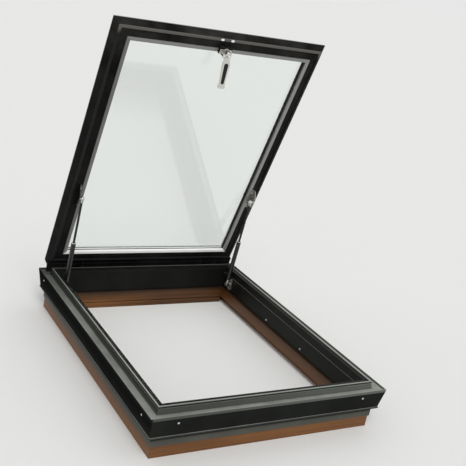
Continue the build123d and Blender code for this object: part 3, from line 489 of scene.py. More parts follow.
# %% [markdown]
# The sash has the same kind of coat, a shade warmer and darker. It is opened almost upright, so dust
# doesn't settle on it, and only a thin film of it is left. Towards the free rail the coat and its film are
# painted lighter as painted light, and its topmost edge gets a painted highlight line. The inner wall of the
# frame is a dull black board, with a skin like moulded plastic; the raised line along each side is painted
# paler as a painted highlight.


# %% Coated metal of the sash and the black wall
FREE_RAIL = (850 * MM, 990 * MM)
FREE_SEAL = (1006 * MM, 1022 * MM)
FREE_EDGE = (1034 * MM, 1044 * MM)


def make_sash_finish():
    material, tree, shader = new_finish("coated_sash")
    vector = place_on_object(tree)
    height = object_parts(tree, "Object")[2]
    # Towards the free rail the coat and its dust film are painted lighter, as painted light.
    high = between(tree, height, *FREE_RAIL)
    dust = dust_on(tree, vector, 620.0, 0.14)
    # Painted highlight along the topmost edge of the free rail.
    top_edge_highlight = between(tree, height, *FREE_EDGE, 0.0, 0.8)
    edge = times(tree, facing_up(tree, 0.8, 0.92), top_edge_highlight)
    dust_film_and_light = times(tree, dust, between(tree, high, 0.0, 1.0, 0.4, 1.0))
    share = plus(tree, dust_film_and_light, edge)
    tone = blend(tree, high, seen(7, 7, 7), seen(15, 14, 13))
    coat(tree, shader, vector, blend(tree, share, tone, seen(176, 176, 172)),
         between(tree, share, 0.0, 0.3, 0.30, 0.5), 0.07, 1400.0, 0.05 * MM)
    return material


WALL_LINE_HEIGHT = 121 * MM
WALL_LINE_HALF = 1.2 * MM
WALL_FACE = 337.6 * MM
WALL_ON_SIDE = 330 * MM


def make_wall_finish():
    """Black wall; the fine raised line along each side is painted a paler grey as a painted highlight."""
    material, tree, shader = new_finish("black_wall")
    vector = place_on_object(tree)
    dust = dust_on(tree, vector, 800.0, 0.10)
    across, _, height = object_parts(tree, "Object")
    aside = calculate(tree, "ABSOLUTE", across)
    proud = between(tree, aside, WALL_FACE - 0.2 * MM, WALL_FACE, 1.0, 0.0)
    sides = calculate(tree, "GREATER_THAN", aside, WALL_ON_SIDE)
    # Painted highlight on the raised line along the sides.
    line = window_of(tree, height, WALL_LINE_HEIGHT - WALL_LINE_HALF, WALL_LINE_HEIGHT + WALL_LINE_HALF)
    line = times(tree, times(tree, line, proud), sides)
    dark = blend(tree, dust, seen(13, 14, 12), seen(96, 94, 88))
    coat(tree, shader, vector, blend(tree, line, dark, seen(104, 104, 100)),
         between(tree, dust, 0.0, 0.2, 0.42, 0.6), 0.12, 900.0, 0.08 * MM)
    return material


sash_finish = make_sash_finish()
wall_finish = make_wall_finish()
print("finishes", sash_finish.name, wall_finish.name)

# %% [markdown]
# The frame is stained pine under a thin varnish. Grain always runs along a board, so the members along X
# and the members along Y get the same recipe with the pattern turned by a quarter. Under the black walls
# little light falls on the wood, so it is painted darker towards its upper edge as painted shade, and the
# head is also painted darker towards its right end.


# %% Stained pine
HEAD_FROM = 400 * MM
# Span along X over which the head is painted darker towards its right end, as painted shade.
HEAD_SHADE_SPAN = (-150 * MM, 80 * MM)


def make_pine_finish(name, turn, shift, shade_heights, share, head=False):
    """Pine with painted shade between the two given heights, and on the head also painted shade towards its
    right end.
    """
    material, tree, shader = new_finish(name)
    vector = place_on_object(tree, turn=turn)
    offset = tree.nodes.new("ShaderNodeVectorMath")
    offset.operation = "ADD"
    offset.inputs[1].default_value = shift
    tree.links.new(vector, offset.inputs[0])
    grain = use_group(tree, pine_group, offset.outputs["Vector"],
                      Early_Wood=seen(128, 84, 42), Late_Wood=seen(76, 46, 22))
    patches = between(tree, noise(tree, offset.outputs["Vector"], 4.0, 4.0), 0.3, 0.7)
    stains = times(tree, patches, 0.35)
    colour = blend(tree, stains, grain.outputs["Color"], seen(90, 53, 27))
    across, along, height = object_parts(tree, "Object")
    # Painted shade: darker towards the upper edge, under the walls.
    shaded = between(tree, height, *shade_heights, 0.0, share)
    if head:
        shaded = calculate(tree, "MAXIMUM", shaded, between(tree, across, *HEAD_SHADE_SPAN, 0.0, 0.55))
        shaded = times(tree, shaded, calculate(tree, "GREATER_THAN", along, HEAD_FROM))
    tree.links.new(blend(tree, shaded, colour, seen(22, 14, 9)), shader.inputs["Base Color"])
    tree.links.new(between(tree, grain.outputs["Rings"], 0.0, 1.0, 0.46, 0.34), shader.inputs["Roughness"])
    tree.links.new(bumped(tree, grain.outputs["Height"], 0.12 * MM), shader.inputs["Normal"])
    shader.inputs["Specular IOR Level"].default_value = 0.25
    shader.inputs["Coat Weight"].default_value = 0.1
    shader.inputs["Coat Roughness"].default_value = 0.22
    return material


pine_along_x = make_pine_finish("pine_along_x", (0, 0, 0), (0.31, 0.023, 0.061), (28 * MM, 60 * MM), 0.9,
                                head=True)
pine_along_y = make_pine_finish("pine_along_y", (0, 0, radians(-90)), (0.12, 0.017, 0.048),
                                (15 * MM, 60 * MM), 0.75)
print("finishes", pine_along_x.name, pine_along_y.name)

# %% [markdown]
# Bare metal comes in four kinds here: drawn aluminium for the glazing beads, with lines along the profile,
# bright plated steel for the screws and strut ends, satin plated steel for the handle, and dull zinc for the
# brackets. Metal has no colour of its own beside its reflection, so the recipes differ mostly in roughness.
# The beads are one aluminium, painted in one tone for each side as painted reflection, since each side of a
# sash mirrors another part of the sky: the hinge side nearly white as a painted highlight, the left side
# darker. The spacer between the panes is painted near-white as a painted reflection, and has a dark seal
# along its lower half, so its recipe needs the height in the closed sash.


# %% Bare metals
def closed_height(tree, output="Object"):
    """Height of a spot of the sash, or of its normal, as it is while the window is closed."""
    _, along, height = object_parts(tree, output)
    pivot_y, pivot_z = (HINGE.y, HINGE.z) if output == "Object" else (0.0, 0.0)
    along = times(tree, calculate(tree, "SUBTRACT", along, pivot_y), sin(OPEN_ANGLE))
    height = times(tree, calculate(tree, "SUBTRACT", height, pivot_z), cos(OPEN_ANGLE))
    return plus(tree, plus(tree, along, height), pivot_z)


def make_metal_finish(name, shade, low, high, stretch, metallic=1.0, sealed=None):
    """Metal with fine lines; stretch is how many lie in a metre along X, Y and Z. It is dark below sealed."""
    material, tree, shader = new_finish(name)
    lines = use_group(tree, brushed_group, place_on_object(tree, scale=stretch), Low_Roughness=low,
                      High_Roughness=high)
    smudge = between(tree, noise(tree, place_on_object(tree), 24.0, 4.0), 0.3, 0.75, 0.0, 0.22)
    darker = tuple(value * 0.72 for value in shade[:3]) + (1.0,)
    colour = blend(tree, smudge, shade, darker)
    if sealed:
        seal = between(tree, closed_height(tree), sealed, sealed + 0.2 * MM, 1.0, 0.0)
        colour = blend(tree, seal, colour, seen(20, 20, 20))
    tree.links.new(colour, shader.inputs["Base Color"])
    tree.links.new(lines.outputs["Roughness"], shader.inputs["Roughness"])
    tree.links.new(bumped(tree, lines.outputs["Lines"], 0.02 * MM), shader.inputs["Normal"])
    shader.inputs["Metallic"].default_value = metallic
    return material


ALONG_X, ALONG_SLOPE = (12, 1600, 1600), (1600, 40, 12)
# Painted reflection: one tone of the same bead per side, lighter or darker by what that side mirrors.
bead_free_painted_tone = make_metal_finish("bead_free_side", seen(140, 140, 138), 0.28, 0.44, ALONG_X, metallic=0.5)
bead_hinge_painted_glint = make_metal_finish("bead_hinge_side", seen(254, 254, 253), 0.2, 0.3, ALONG_X, metallic=0.1)
bead_left_painted_shade = make_metal_finish("bead_left_side", seen(122, 122, 120), 0.28, 0.44, ALONG_SLOPE, metallic=0.5)
bead_right_painted_light = make_metal_finish("bead_right_side", seen(148, 148, 145), 0.28, 0.44, ALONG_SLOPE, metallic=0.5)
# Near-white spacer, painted as the reflection of bright metal; dark below the seal.
spacer_painted_reflection = make_metal_finish("spacer_metal", seen(253, 253, 253), 0.3, 0.4, (300, 300, 300),
                                  metallic=0.1, sealed=166.6 * MM)
bright_finish = make_metal_finish("bright_plating", seen(214, 214, 212), 0.08, 0.18, (500, 500, 500))
stud_finish = make_metal_finish("polished_heads", seen(252, 252, 250), 0.06, 0.12, (500, 500, 500))
satin_finish = make_metal_finish("satin_plating", seen(216, 214, 208), 0.16, 0.28, (1200, 60, 60))
zinc_finish = make_metal_finish("zinc_plating", seen(172, 172, 168), 0.32, 0.5, (260, 260, 260))
# The same zinc painted darker, as painted shade for the left bracket.
zinc_shaded = make_metal_finish("zinc_plating_shaded", seen(96, 97, 95), 0.2, 0.36, (260, 260, 260))
print("metals", bead_free_painted_tone.name, spacer_painted_reflection.name, bright_finish.name, satin_finish.name, zinc_finish.name)

# %% [markdown]
# The strut tube is painted black, its rod is dark nitrided steel, and the seals are rubber, which is dull
# and never quite black. On the free rail the seal is painted paler, as painted light. At the hinge side the
# outer gasket is painted near-white on the faces that look into the room, as a painted highlight. The
# glass is clear with a faint green edge. Lamps have to reach the frame behind it, so for their rays the
# panes are see-through, which is quicker and cleaner than waiting for light to bend its way in.


# %% Paint, rubber and glass
# Where the gasket is painted near-white as a painted highlight: faces looking into the room, low on the open
# sash.
GLINT_FACING = (-0.9, -0.6)
GLINT_TOP = (300 * MM, 320 * MM)


def make_tube_finish():
    material, tree, shader = new_finish("tube_paint")
    vector = place_on_object(tree)
    wear = between(tree, noise(tree, vector, 160.0, 4.0), 0.55, 0.8, 0.0, 0.5)
    tree.links.new(blend(tree, wear, seen(26, 26, 27), seen(52, 52, 53)), shader.inputs["Base Color"])
    tree.links.new(between(tree, wear, 0.0, 0.5, 0.2, 0.38), shader.inputs["Roughness"])
    return material


def make_rubber_finish(name, shade, free_rail_lit=None, amount=0.2):
    """Rubber; given a second shade, it turns to that one on the free rail, which is painted light."""
    material, tree, shader = new_finish(name)
    vector = place_on_object(tree)
    dust = dust_on(tree, vector, 1100.0, amount)
    if free_rail_lit:
        # Painted light: paler on the free rail.
        shade = blend(tree, between(tree, object_parts(tree, "Object")[2], *FREE_SEAL), shade, free_rail_lit)
    coat(tree, shader, vector, blend(tree, dust, shade, seen(110, 109, 106)),
         between(tree, dust, 0.0, 0.3, 0.5, 0.7), 0.25, 2200.0, 0.05 * MM)
    return material


def make_gasket_glint_finish():
    """Black gasket, painted near-white on the faces that look into the room near the hinge side, as a painted
    highlight.
    """
    material, tree, shader = new_finish("gasket_painted_glint")
    glint_mask = between(tree, closed_height(tree, "Normal"), *GLINT_FACING, 1.0, 0.0)
    low = between(tree, object_parts(tree, "Object")[2], *GLINT_TOP, 1.0, 0.0)
    glint_mask = times(tree, glint_mask, low)
    tree.links.new(blend(tree, glint_mask, seen(18, 18, 18), seen(250, 250, 248)), shader.inputs["Base Color"])
    shader.inputs["Roughness"].default_value = 0.6
    return material


def make_glass_finish():
    material, tree, shader = new_finish("clear_glass")
    shader.inputs["Base Color"].default_value = (0.97, 0.988, 0.98, 1.0)
    shader.inputs["Transmission Weight"].default_value = 1.0
    shader.inputs["Roughness"].default_value = 0.0
    shader.inputs["IOR"].default_value = 1.46
    rays = tree.nodes.new("ShaderNodeLightPath")
    clear = tree.nodes.new("ShaderNodeBsdfTransparent")
    mixed = tree.nodes.new("ShaderNodeMixShader")
    tree.links.new(rays.outputs["Is Shadow Ray"], mixed.inputs["Fac"])
    tree.links.new(shader.outputs["BSDF"], mixed.inputs[1])
    tree.links.new(clear.outputs["BSDF"], mixed.inputs[2])
    tree.links.new(mixed.outputs["Shader"], tree.nodes["Material Output"].inputs["Surface"])
    return material


def make_rod_finish():
    """Dark nitrided steel, polished so that it draws one thin line of light."""
    material, tree, shader = new_finish("nitrided_rod")
    lines = use_group(tree, brushed_group, place_on_object(tree, scale=(900, 900, 40)), Low_Roughness=0.16,
                      High_Roughness=0.26)
    shader.inputs["Base Color"].default_value = seen(52, 52, 54)
    shader.inputs["Metallic"].default_value = 0.7
    tree.links.new(lines.outputs["Roughness"], shader.inputs["Roughness"])
    return material


tube_finish = make_tube_finish()
rod_finish = make_rod_finish()
rubber_finish = make_rubber_finish("black_rubber", seen(18, 18, 18))
# The seal is painted paler on the free rail, as painted light.
seal_finish = make_rubber_finish("seal_rubber_painted_light", seen(14, 14, 14), seen(92, 90, 86), 0.06)
gasket_glint_finish = make_gasket_glint_finish()
glass_finish = make_glass_finish()
print("finishes", tube_finish.name, rubber_finish.name, glass_finish.name)

# %% [markdown]
# A drawn edge is perfectly sharp, and a real one never is: bent sheet, extrusion and planed wood all have
# a small round, which catches a line of light. Each solid is copied, its loose triangles are merged back to
# whole faces, and every sharp edge gets a small bevel. A shader trick would look alike from afar, but a
# real bevel also shows in the mesh, and it opens a fine joint line where two members meet in a mitre.

# %% Round the edges of a solid
SHARP = radians(24)
SMOOTH = radians(50)
FLAT = radians(0.6)
SAME_PLACE = 0.002 * MM


def merged_copy(node):
    """Bmesh of a node with its triangles joined into whole faces."""
    bm = bmesh.new()
    bm.from_mesh(frame["nodes"][node].data)
    bmesh.ops.remove_doubles(bm, verts=bm.verts, dist=SAME_PLACE)
    bmesh.ops.dissolve_limit(bm, angle_limit=FLAT, verts=bm.verts, edges=bm.edges)
    return bm


def sharp_edges(bm):
    return [e for e in bm.edges if len(e.link_faces) == 2 and e.calc_face_angle(0) > SHARP]


def bevel(bm, edges, width, segments, clamp=True):
    bmesh.ops.bevel(bm, geom=edges, offset=width, offset_type="OFFSET", segments=segments, profile=0.5,
                    affect="EDGES", clamp_overlap=clamp, material=-1)


def shown(bm, name, body, finish):
    """Finished piece from a bmesh, riding on its body."""
    mesh = bpy.data.meshes.new(name)
    bm.to_mesh(mesh)
    bm.free()
    for face in mesh.polygons:
        face.use_smooth = True
    mesh.set_sharp_from_angle(angle=SMOOTH)
    mesh.materials.append(finish)
    piece = bpy.data.objects.new(name, mesh)
    bpy.context.scene.collection.objects.link(piece)
    even = piece.modifiers.new("even_faces", "WEIGHTED_NORMAL")
    even.mode = "FACE_AREA"
    even.keep_sharp = True
    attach(piece, body)
    return piece


def rounded(node, width, finish, segments=2):
    """Copy of a node with its sharp edges rounded; it stands for the node."""
    bm = merged_copy(node)
    bevel(bm, sharp_edges(bm), width, segments)
    body = frame["nodes"][node]["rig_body"]
    piece = shown(bm, node + "_finished", body, finish)
    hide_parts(node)
    return piece


print("sharp is over", round(SHARP, 3), "radians")

# %% [markdown]
# The frame is put together from mitred members: timber inside, walls over it and a skin of sheet outside.
# Thin sheet is bent with a small radius and planed timber with a larger one, so each kind of member gets
# its own width of round.

# %% Frame pieces
SIDES = ("front", "rear", "left", "right")
TIMBERS = {"timber_sill": pine_along_x, "timber_head": pine_along_x, "head_lining_board": pine_along_x,
           "timber_jamb_left": pine_along_y, "timber_jamb_right": pine_along_y}

rounded("hinge_cover", 0.4 * MM, sash_finish)
for side in SIDES:
    rounded("cladding_" + side, 0.6 * MM, cladding_finish)
    rounded("collar_" + side, 0.5 * MM, collar_finish)
    rounded("inner_wall_" + side, 0.5 * MM, wall_finish)
for node, finish in TIMBERS.items():
    rounded(node, 1.2 * MM, finish)
print("frame pieces", len(SIDES) * 3 + len(TIMBERS))

# %% [markdown]
# The sash holds two panes in hollow profiles, with beads, gaskets and a spacer bar between them. Panes get
# a very small round, as ground glass edges have, and the soft seal gets a larger one in more steps.

# %% Sash pieces
BEADS = {"front": bead_free_painted_tone, "rear": bead_hinge_painted_glint, "left": bead_left_painted_shade, "right": bead_right_painted_light}

for node in ("sash_rail_front", "sash_rail_rear", "sash_stile_left", "sash_stile_right"):
    rounded(node, 0.8 * MM, sash_finish)
for side in SIDES:
    rounded("glazing_bead_" + side, 0.7 * MM, BEADS[side])
rounded("sash_seal", 1.0 * MM, seal_finish, segments=3)
rounded("glazing_gasket_inner", 0.2 * MM, rubber_finish)
rounded("glazing_gasket_outer", 0.2 * MM, gasket_glint_finish)
rounded("spacer_bar", 0.3 * MM, spacer_painted_reflection)
rounded("pane_inner", 0.4 * MM, glass_finish)
rounded("pane_outer", 0.4 * MM, glass_finish)

# %% [markdown]
# Hinges, brackets, strut ends and handle are stamped, cast or turned small parts. A stamped edge is nearly
# sharp and a cast lever is round to the hand, which is all that tells them apart at this size. The hinges
# are coated like the sash. The left bracket lies in the shade of its stile, so its zinc is painted darker as
# painted shade.

# %% Hardware pieces
for hand in ("left", "right"):
    for node in ("hinge_foot_", "hinge_leaf_"):
        rounded(node + hand, 0.35 * MM, sash_finish)
    for node in ("strut_bracket_", "strut_anchor_"):
        # The left bracket gets the zinc painted darker, as painted shade.
        rounded(node + hand, 0.35 * MM, zinc_shaded if hand == "left" else zinc_finish)
    rounded("hinge_pin_" + hand, 0.3 * MM, rod_finish)
    rounded("strut_rod_" + hand, 0.3 * MM, rod_finish)
    rounded("strut_eye_" + hand, 0.5 * MM, bright_finish)
    rounded("strut_socket_" + hand, 0.4 * MM, bright_finish)
rounded("keeper", 0.4 * MM, zinc_finish)
rounded("handle_case", 0.8 * MM, sash_finish)
rounded("handle_spindle", 0.4 * MM, bright_finish)
rounded("handle_lever", 1.4 * MM, satin_finish, segments=3)

# %% [markdown]
# The screws are pan heads with a round socket. On a real one the socket is struck into the head, which
# leaves a sharp rim that catches the light around a dark hole. So the flat top of each head is inset and
# pushed in.

# %% Screws
SOCKET_SHARE = 0.42
SOCKET_DEPTH = 1.0 * MM
SOCKET_TAPER = 0.12


def islands(bm):
    """Groups of faces that hang together."""
    left = set(bm.faces)
    groups = []
    while left:
        group, edge_of_group = set(), [left.pop()]
        while edge_of_group:
            face = edge_of_group.pop()
            group.add(face)
            near = {other for edge in face.edges for other in edge.link_faces} & left
            left -= near
            edge_of_group.extend(near)
        groups.append(group)
    return groups


def socketed(node, finish):
    """Screws with a socket struck into each head."""
    bm = merged_copy(node)
    tops = [max(group, key=lambda face: face.calc_area()) for group in islands(bm)]
    for top in tops:
        radius = max((v.co - top.calc_center_median()).length for v in top.verts)
        bmesh.ops.inset_individual(bm, faces=[top], thickness=radius * (1 - SOCKET_SHARE),
                                   use_even_offset=True)
        inward = -top.normal * SOCKET_DEPTH
        floor = bmesh.ops.extrude_discrete_faces(bm, faces=[top])["faces"]
        bmesh.ops.translate(bm, vec=inward, verts=list({v for face in floor for v in face.verts}))
        bmesh.ops.inset_individual(bm, faces=floor, thickness=radius * SOCKET_TAPER, use_even_offset=True)
    body = frame["nodes"][node]["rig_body"]
    piece = shown(bm, node + "_finished", body, finish)
    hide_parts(node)
    return len(tops)


for node in ("apron_screws", "frame_screws", "hinge_leaf_screws", "bracket_screws"):
    print(node, socketed(node, bright_finish))
rounded("lip_studs", 0.5 * MM, bright_finish, segments=3)

# %% [markdown]
# The next pieces are drawn in simple places and then carried to where they belong: those of the sash as
# if it lay closed, and those of a strut as if it stood upright on its lower pivot. Joint places come from
# the window's own movement, so the pieces can't drift away from what they sit on.

# %% Places on the window
OPENED = Matrix.Translation(HINGE) @ Matrix.Rotation(-OPEN_ANGLE, 4, "X") @ Matrix.Translation(-HINGE)
STRUT_UP = -Vector(JOINTS["strut_slide_left"]["axis"])


def standing(place, direction):
    """Matrix that carries upright pieces to a place, with Z along a direction."""
    return Matrix.Translation(place) @ direction.to_track_quat("Z", "Y").to_matrix().to_4x4()


def turned(points, closed=False, segments=40):
    """Profile of radii and heights in millimetres, turned about Z."""
    bm = bmesh.new()
    verts = [bm.verts.new((radius * MM, 0, height * MM)) for radius, height in points]
    pairs = list(zip(verts, verts[1:])) + ([(verts[-1], verts[0])] if closed else [])
    edges = [bm.edges.new(pair) for pair in pairs]
    bmesh.ops.spin(bm, geom=verts + edges, cent=(0, 0, 0), axis=(0, 0, 1), angle=2 * pi, steps=segments,
                   use_merge=True)
    bmesh.ops.remove_doubles(bm, verts=bm.verts, dist=0.000001)
    bmesh.ops.recalc_face_normals(bm, faces=bm.faces)
    return bm


def carried(bm, matrix):
    bmesh.ops.transform(bm, matrix=matrix, verts=bm.verts)
    return bm


def cut_off(bm, place, normal):
    """Cut away what lies beyond a plane; gives the edges of the cut."""
    geometry = list(bm.verts) + list(bm.edges) + list(bm.faces)
    cut = bmesh.ops.bisect_plane(bm, geom=geometry, plane_co=place, plane_no=normal, clear_outer=True)
    return [item for item in cut["geom_cut"] if isinstance(item, bmesh.types.BMEdge)]


def close_holes(bm):
    """Fill what a cut has left open and turn all faces outward again."""
    bmesh.ops.holes_fill(bm, edges=[e for e in bm.edges if len(e.link_faces) == 1], sides=0)
    bmesh.ops.recalc_face_normals(bm, faces=bm.faces)


print("strut leans", [round(v, 4) for v in STRUT_UP])

# %% [markdown]
# A strut's tube is a drawn steel tube, rolled in at its foot and crimped twice where the guide of the rod
# sits. A bright steel ring closes it around the rod, a spring clip holds the ball in the upper socket, and
# a ring lies on the lower eye. All are turned parts, so a profile spun about the axis is the honest way to
# make them: the crimps are real steps in the outline and not painted lines.

# %% Struts
TUBE_OUTLINE = [
    (0, 20), (6.2, 20), (7.4, 20.9), (8, 22.6), (8, 31), (7.5, 31.8), (7.5, 33.2), (8, 34), (8, 168),
    (7.4, 168.9), (7.4, 170.7), (8, 171.6), (8, 183.4), (7.3, 185.5), (6.6, 186), (4.3, 186),
    (4.12, 185.6), (4.12, 176), (6.9, 176), (6.9, 30), (0, 30),
]
GUIDE_OUTLINE = [(4.3, 185.8), (6.4, 185.8), (6.9, 186.4), (6.9, 188.2), (6.2, 189.2), (4.5, 189.2),
                 (4.3, 188.9)]
CLIP_OUTLINE = [(7.0, -0.8), (7.7, -0.8), (8.0, -0.4), (8.0, 0.4), (7.7, 0.8), (7.0, 0.8)]
EYE_RING_OUTLINE = [(4.6, -5.2), (7.6, -5.2), (8.0, -4.9), (8.0, -4.4), (4.6, -4.4)]
ROD_RADIUS = 4 * MM
CLIP_PAST_ROD = 7 * MM

for hand, side in (("left", -1), ("right", 1)):
    pivot = Vector(JOINTS["strut_swing_" + hand]["pos_m"])
    upright = standing(pivot, STRUT_UP)
    tube = shown(carried(turned(TUBE_OUTLINE), upright), "strut_tube_" + hand + "_finished",
                 "strut_tube_" + hand, tube_finish)
    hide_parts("strut_tube_" + hand)
    _, rod_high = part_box("strut_rod_" + hand)
    reach = (rod_high[2] - pivot.z - ROD_RADIUS * abs(STRUT_UP.y)) / STRUT_UP.z + CLIP_PAST_ROD
    across = Vector((side, 0, 0))
    rings = (("strut_guide_", "strut_tube_", GUIDE_OUTLINE, upright, bright_finish),
             ("socket_clip_", "strut_rod_", CLIP_OUTLINE, standing(pivot + STRUT_UP * reach, across),
              bright_finish),
             ("eye_ring_", "strut_tube_", EYE_RING_OUTLINE, standing(pivot, across), zinc_finish))
    for name, body, outline, place, finish in rings:
        ring = carried(turned(outline, closed=True), place)
        shown(ring, name + hand, body + hand, finish)
print("strut length", round(reach / MM, 1), "mm")

# %% [markdown]
# A plate lies under the handle's case, with a rosette round the hub and a lock button beside it. A pressed
# cap closes the end of the hub. The lever has a groove where the fingers pull: a soft grip lines it, and a
# strip of dark plastic lies in the grip. Both follow the fall of the lever, so they are made level and then
# tilted into the groove. Round parts are spun, and flat ones are a block whose corners are beveled round.

# %% Handle
HANDLE_AXIS = Vector((0, -422 * MM, 0))
ROSETTE_OUTLINE = [(5.2, 139.8), (9.6, 139.8), (9.6, 139.4), (9.1, 139.0), (7.4, 138.9), (7.1, 138.7),
                   (5.2, 138.7)]
BUTTON_OUTLINE = [(0, 141), (3.4, 141), (3.4, 118.6), (2.7, 118.0), (2.2, 117.6), (2.2, 117.0), (3.0, 116.4),
                  (3.4, 115.4), (3.4, 114.2), (2.9, 112.9), (1.7, 112.1), (0, 111.9)]
BUTTON_SPOT = Vector((-16 * MM, -415 * MM, 0))
PLATE_SIZE = (41 * MM, 16 * MM, 1.1 * MM)
PLATE_MIDDLE = Vector((0, -419.4 * MM, 140.35 * MM))
CAP_OUTLINE = [(0, 115.2), (8.7, 115.2), (8.9, 114.7), (8.4, 114.1), (3.4, 113.7), (3.0, 114.3), (0, 114.3)]
INLAY_SIZE = (9.2 * MM, 60 * MM, 1.3 * MM)
GRIP_SIZE = (12.6 * MM, 66 * MM, 0.9 * MM)
GRIP_TAPER = 0.14
INLAY_ALONG = 57.5 * MM
LEVER_FALL = 24 / 93
LEVER_FACE = 115 * MM
LEVER_START = 10 * MM


def on_handle(bm):
    return carried(bm, OPENED @ Matrix.Translation(HANDLE_AXIS))


def slab(size, corner, edge):
    """Flat piece with round corners and a softened lower edge, centred on the origin."""
    bm = bmesh.new()
    bmesh.ops.create_cube(bm, size=1.0, matrix=Matrix.Diagonal((*size, 1)))
    upright = [e for e in bm.edges if abs((e.verts[0].co - e.verts[1].co).normalized().z) > 0.9]
    bevel(bm, upright, corner, 8, clamp=False)
    low = [e for e in bm.edges if all(v.co.z < -0.4 * size[2] for v in e.verts)]
    bevel(bm, low, edge, 2, clamp=False)
    return bm


def in_lever(bm, depth):
    """Carry a level piece to the groove; depth is how far its middle lies above the lever's lower face."""
    height = LEVER_FACE - LEVER_FALL * (INLAY_ALONG - LEVER_START) + depth
    tilt = Matrix.Rotation(-atan(LEVER_FALL), 4, "X")
    return on_handle(carried(bm, Matrix.Translation((0, INLAY_ALONG, height)) @ tilt))


def lever_grip():
    """Lip of the grip; it narrows towards the tip as the lever does."""
    bm = slab(GRIP_SIZE, 6.1 * MM, 0.35 * MM)
    for vert in bm.verts:
        vert.co.x *= 1 - GRIP_TAPER * vert.co.y / (GRIP_SIZE[1] / 2)
    return shown(in_lever(bm, -0.25 * MM), "lever_grip", "handle", rubber_finish)


shown(on_handle(turned(ROSETTE_OUTLINE, closed=True)), "handle_rosette", "sash", satin_finish)
shown(on_handle(turned(CAP_OUTLINE)), "handle_cap", "handle", bright_finish)
inlay = shown(in_lever(slab(INLAY_SIZE, 3.5 * MM, 0.3 * MM), 0.9 * MM),
              "lever_inlay", "handle", rubber_finish)
plate = shown(carried(slab(PLATE_SIZE, 4 * MM, 0.4 * MM), OPENED @ Matrix.Translation(PLATE_MIDDLE)),
              "handle_plate", "sash", satin_finish)
button = shown(carried(turned(BUTTON_OUTLINE), OPENED @ Matrix.Translation(BUTTON_SPOT)),
               "lock_button", "sash", bright_finish)
print("handle pieces", lever_grip().name, inlay.name, plate.name, button.name)

# %% [markdown]
# Two bright heads show on the rubber of the free rail. They are domed like a rivet and a little longer than
# they are high, so a turned head is stretched along the rail. Each one sits on a stud of the solids.

# %% Heads of the studs
HEAD_OUTLINE = [(0, 150.1), (3.0, 150.14), (3.8, 150.22), (4.1, 150.38), (2.4, 150.38), (2.4, 151.4),
                (0, 151.4)]
HEAD_STRETCH = 1.5
STUD_SPOT = Vector((18 * MM, -454 * MM, 0))

for hand, side in (("left", -1), ("right", 1)):
    place = OPENED @ Matrix.Translation((side * STUD_SPOT.x, STUD_SPOT.y, 0))
    head = carried(turned(HEAD_OUTLINE), place @ Matrix.Diagonal((HEAD_STRETCH, 1, 1, 1)))
    head = shown(head, "stud_head_" + hand, "sash", stud_finish)
    print(head.name, len(head.data.polygons))

# %% [markdown]
# The glass lies on a black gasket whose lip looks out beside the bead. It is a thin frame: a flat sheet with
# its middle taken out, given a thickness and a soft edge. The hinge side shows less of it than the others.

# %% Lip of the gasket
LIP_TOP = 159.75 * MM
LIP_THICK = 0.9 * MM
LIP_OUTER = (312.4 * MM, 412.4 * MM)
LIP_INSET = 1 * MM
LIP_INNER = {"left": -309 * MM, "right": 306.6 * MM, "front": -409 * MM, "rear": 410.6 * MM}


def gasket_lip():
    bm = bmesh.new()
    bmesh.ops.create_grid(bm, x_segments=1, y_segments=1, size=1.0)
    bmesh.ops.scale(bm, vec=(*LIP_OUTER, 1), verts=bm.verts)
    bmesh.ops.inset_region(bm, faces=list(bm.faces), thickness=LIP_INSET, use_boundary=True)
    edge_x, edge_y = (reach - LIP_INSET / 2 for reach in LIP_OUTER)
    inner = [v for v in bm.verts if abs(v.co.x) < edge_x and abs(v.co.y) < edge_y]
    for vert in inner:
        vert.co.x = LIP_INNER["left"] if vert.co.x < 0 else LIP_INNER["right"]
        vert.co.y = LIP_INNER["front"] if vert.co.y < 0 else LIP_INNER["rear"]
    middle = [face for face in bm.faces if set(face.verts) == set(inner)]
    bmesh.ops.delete(bm, geom=middle, context="FACES_ONLY")
    walls = bmesh.ops.extrude_face_region(bm, geom=list(bm.faces))["geom"]
    lower = [item for item in walls if isinstance(item, bmesh.types.BMVert)]
    bmesh.ops.translate(bm, vec=(0, 0, -LIP_THICK), verts=lower)
    bmesh.ops.recalc_face_normals(bm, faces=bm.faces)
    bevel(bm, sharp_edges(bm), 0.25 * MM, 2)
    carried(bm, OPENED @ Matrix.Translation((0, 0, LIP_TOP)))
    return shown(bm, "gasket_lip", "sash", rubber_finish)


print("lip", gasket_lip().name)

# %% [markdown]
# Behind the bead a glass unit shows its edge: black sealant along the spacer, next to the bright metal.
# The sealant is a copy of the spacer cut to half its height and brought a little forward. Along the hinge
# side the metal lies bare, so the copy ends before that side.

# %% Sealant of the glass unit
SEALANT_HEIGHT = 3.6 * MM
SEALANT_PROUD = 0.7 * MM


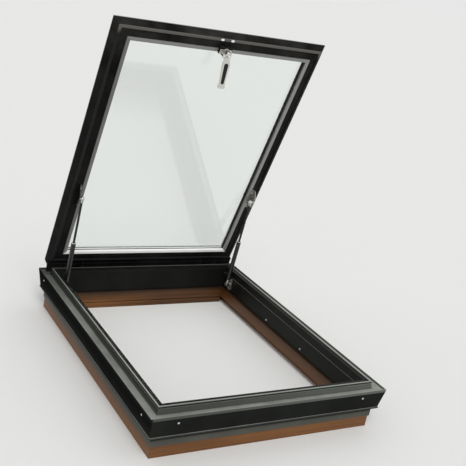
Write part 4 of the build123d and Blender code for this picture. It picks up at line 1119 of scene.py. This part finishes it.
def glazing_sealant():
    bm = merged_copy("spacer_bar")
    carried(bm, OPENED.inverted())
    low = min(v.co.z for v in bm.verts)
    inner_x = min(abs(v.co.x) for v in bm.verts)
    inner_y = min(abs(v.co.y) for v in bm.verts)
    rim = cut_off(bm, (0, 0, low + SEALANT_HEIGHT), (0, 0, 1))
    bmesh.ops.bridge_loops(bm, edges=rim)
    cut_off(bm, (0, inner_y - 1 * MM, 0), (0, 1, 0))
    close_holes(bm)
    shrink = Matrix.Diagonal((1 - SEALANT_PROUD / inner_x, 1 - SEALANT_PROUD / inner_y, 1, 1))
    carried(bm, OPENED @ shrink)
    return shown(bm, "glazing_sealant", "sash", rubber_finish)


print("sealant", glazing_sealant().name)

# %% [markdown]
# The cover under the hinge rail ends 3 mm before each hinge, so that the leaf can pass. Daylight would show
# through such a slit where there is only shade, so a dark rubber pad closes it as painted shade. Each pad
# is a slice of the cover itself, moved into the gap. A small flap does the same behind the middle knuckle,
# where the web of the hinge is cut away.

# %% Dark pads beside the hinges, as painted shade
PAD_THICK = 2.4 * MM
COVER_ENDS = (237 * MM, 303 * MM)
FLAP_SIZE = (22 * MM, 1.4 * MM, 7 * MM)
FLAP_SPOT = Vector((270 * MM, 478.4 * MM, 148.6 * MM))


def shade_pad(name, end, outward):
    """Slice of the cover before one of its ends, moved outward by its own thickness; a dark pad standing in
    for shade.
    """
    bm = merged_copy("hinge_cover")
    for place, normal in ((end, outward), (end - outward * PAD_THICK, -outward)):
        cut_off(bm, (place + normal * 0.01 * MM, 0, 0), (normal, 0, 0))
    close_holes(bm)
    bmesh.ops.translate(bm, vec=(outward * PAD_THICK, 0, 0), verts=bm.verts)
    return shown(bm, name, "frame", rubber_finish)


for hand, side in (("left", -1), ("right", 1)):
    inner = shade_pad("cover_pad_inner_" + hand, side * COVER_ENDS[0], side)
    outer = shade_pad("cover_pad_outer_" + hand, side * COVER_ENDS[1], -side)
    place = Matrix.Translation((side * FLAP_SPOT.x, FLAP_SPOT.y, FLAP_SPOT.z))
    flap = shown(carried(slab(FLAP_SIZE, 0.5 * MM, 0.3 * MM), place),
                 "hinge_shade_flap_" + hand, "frame", rubber_finish)
    print(inner.name, len(inner.data.polygons), outer.name, len(outer.data.polygons), flap.name)
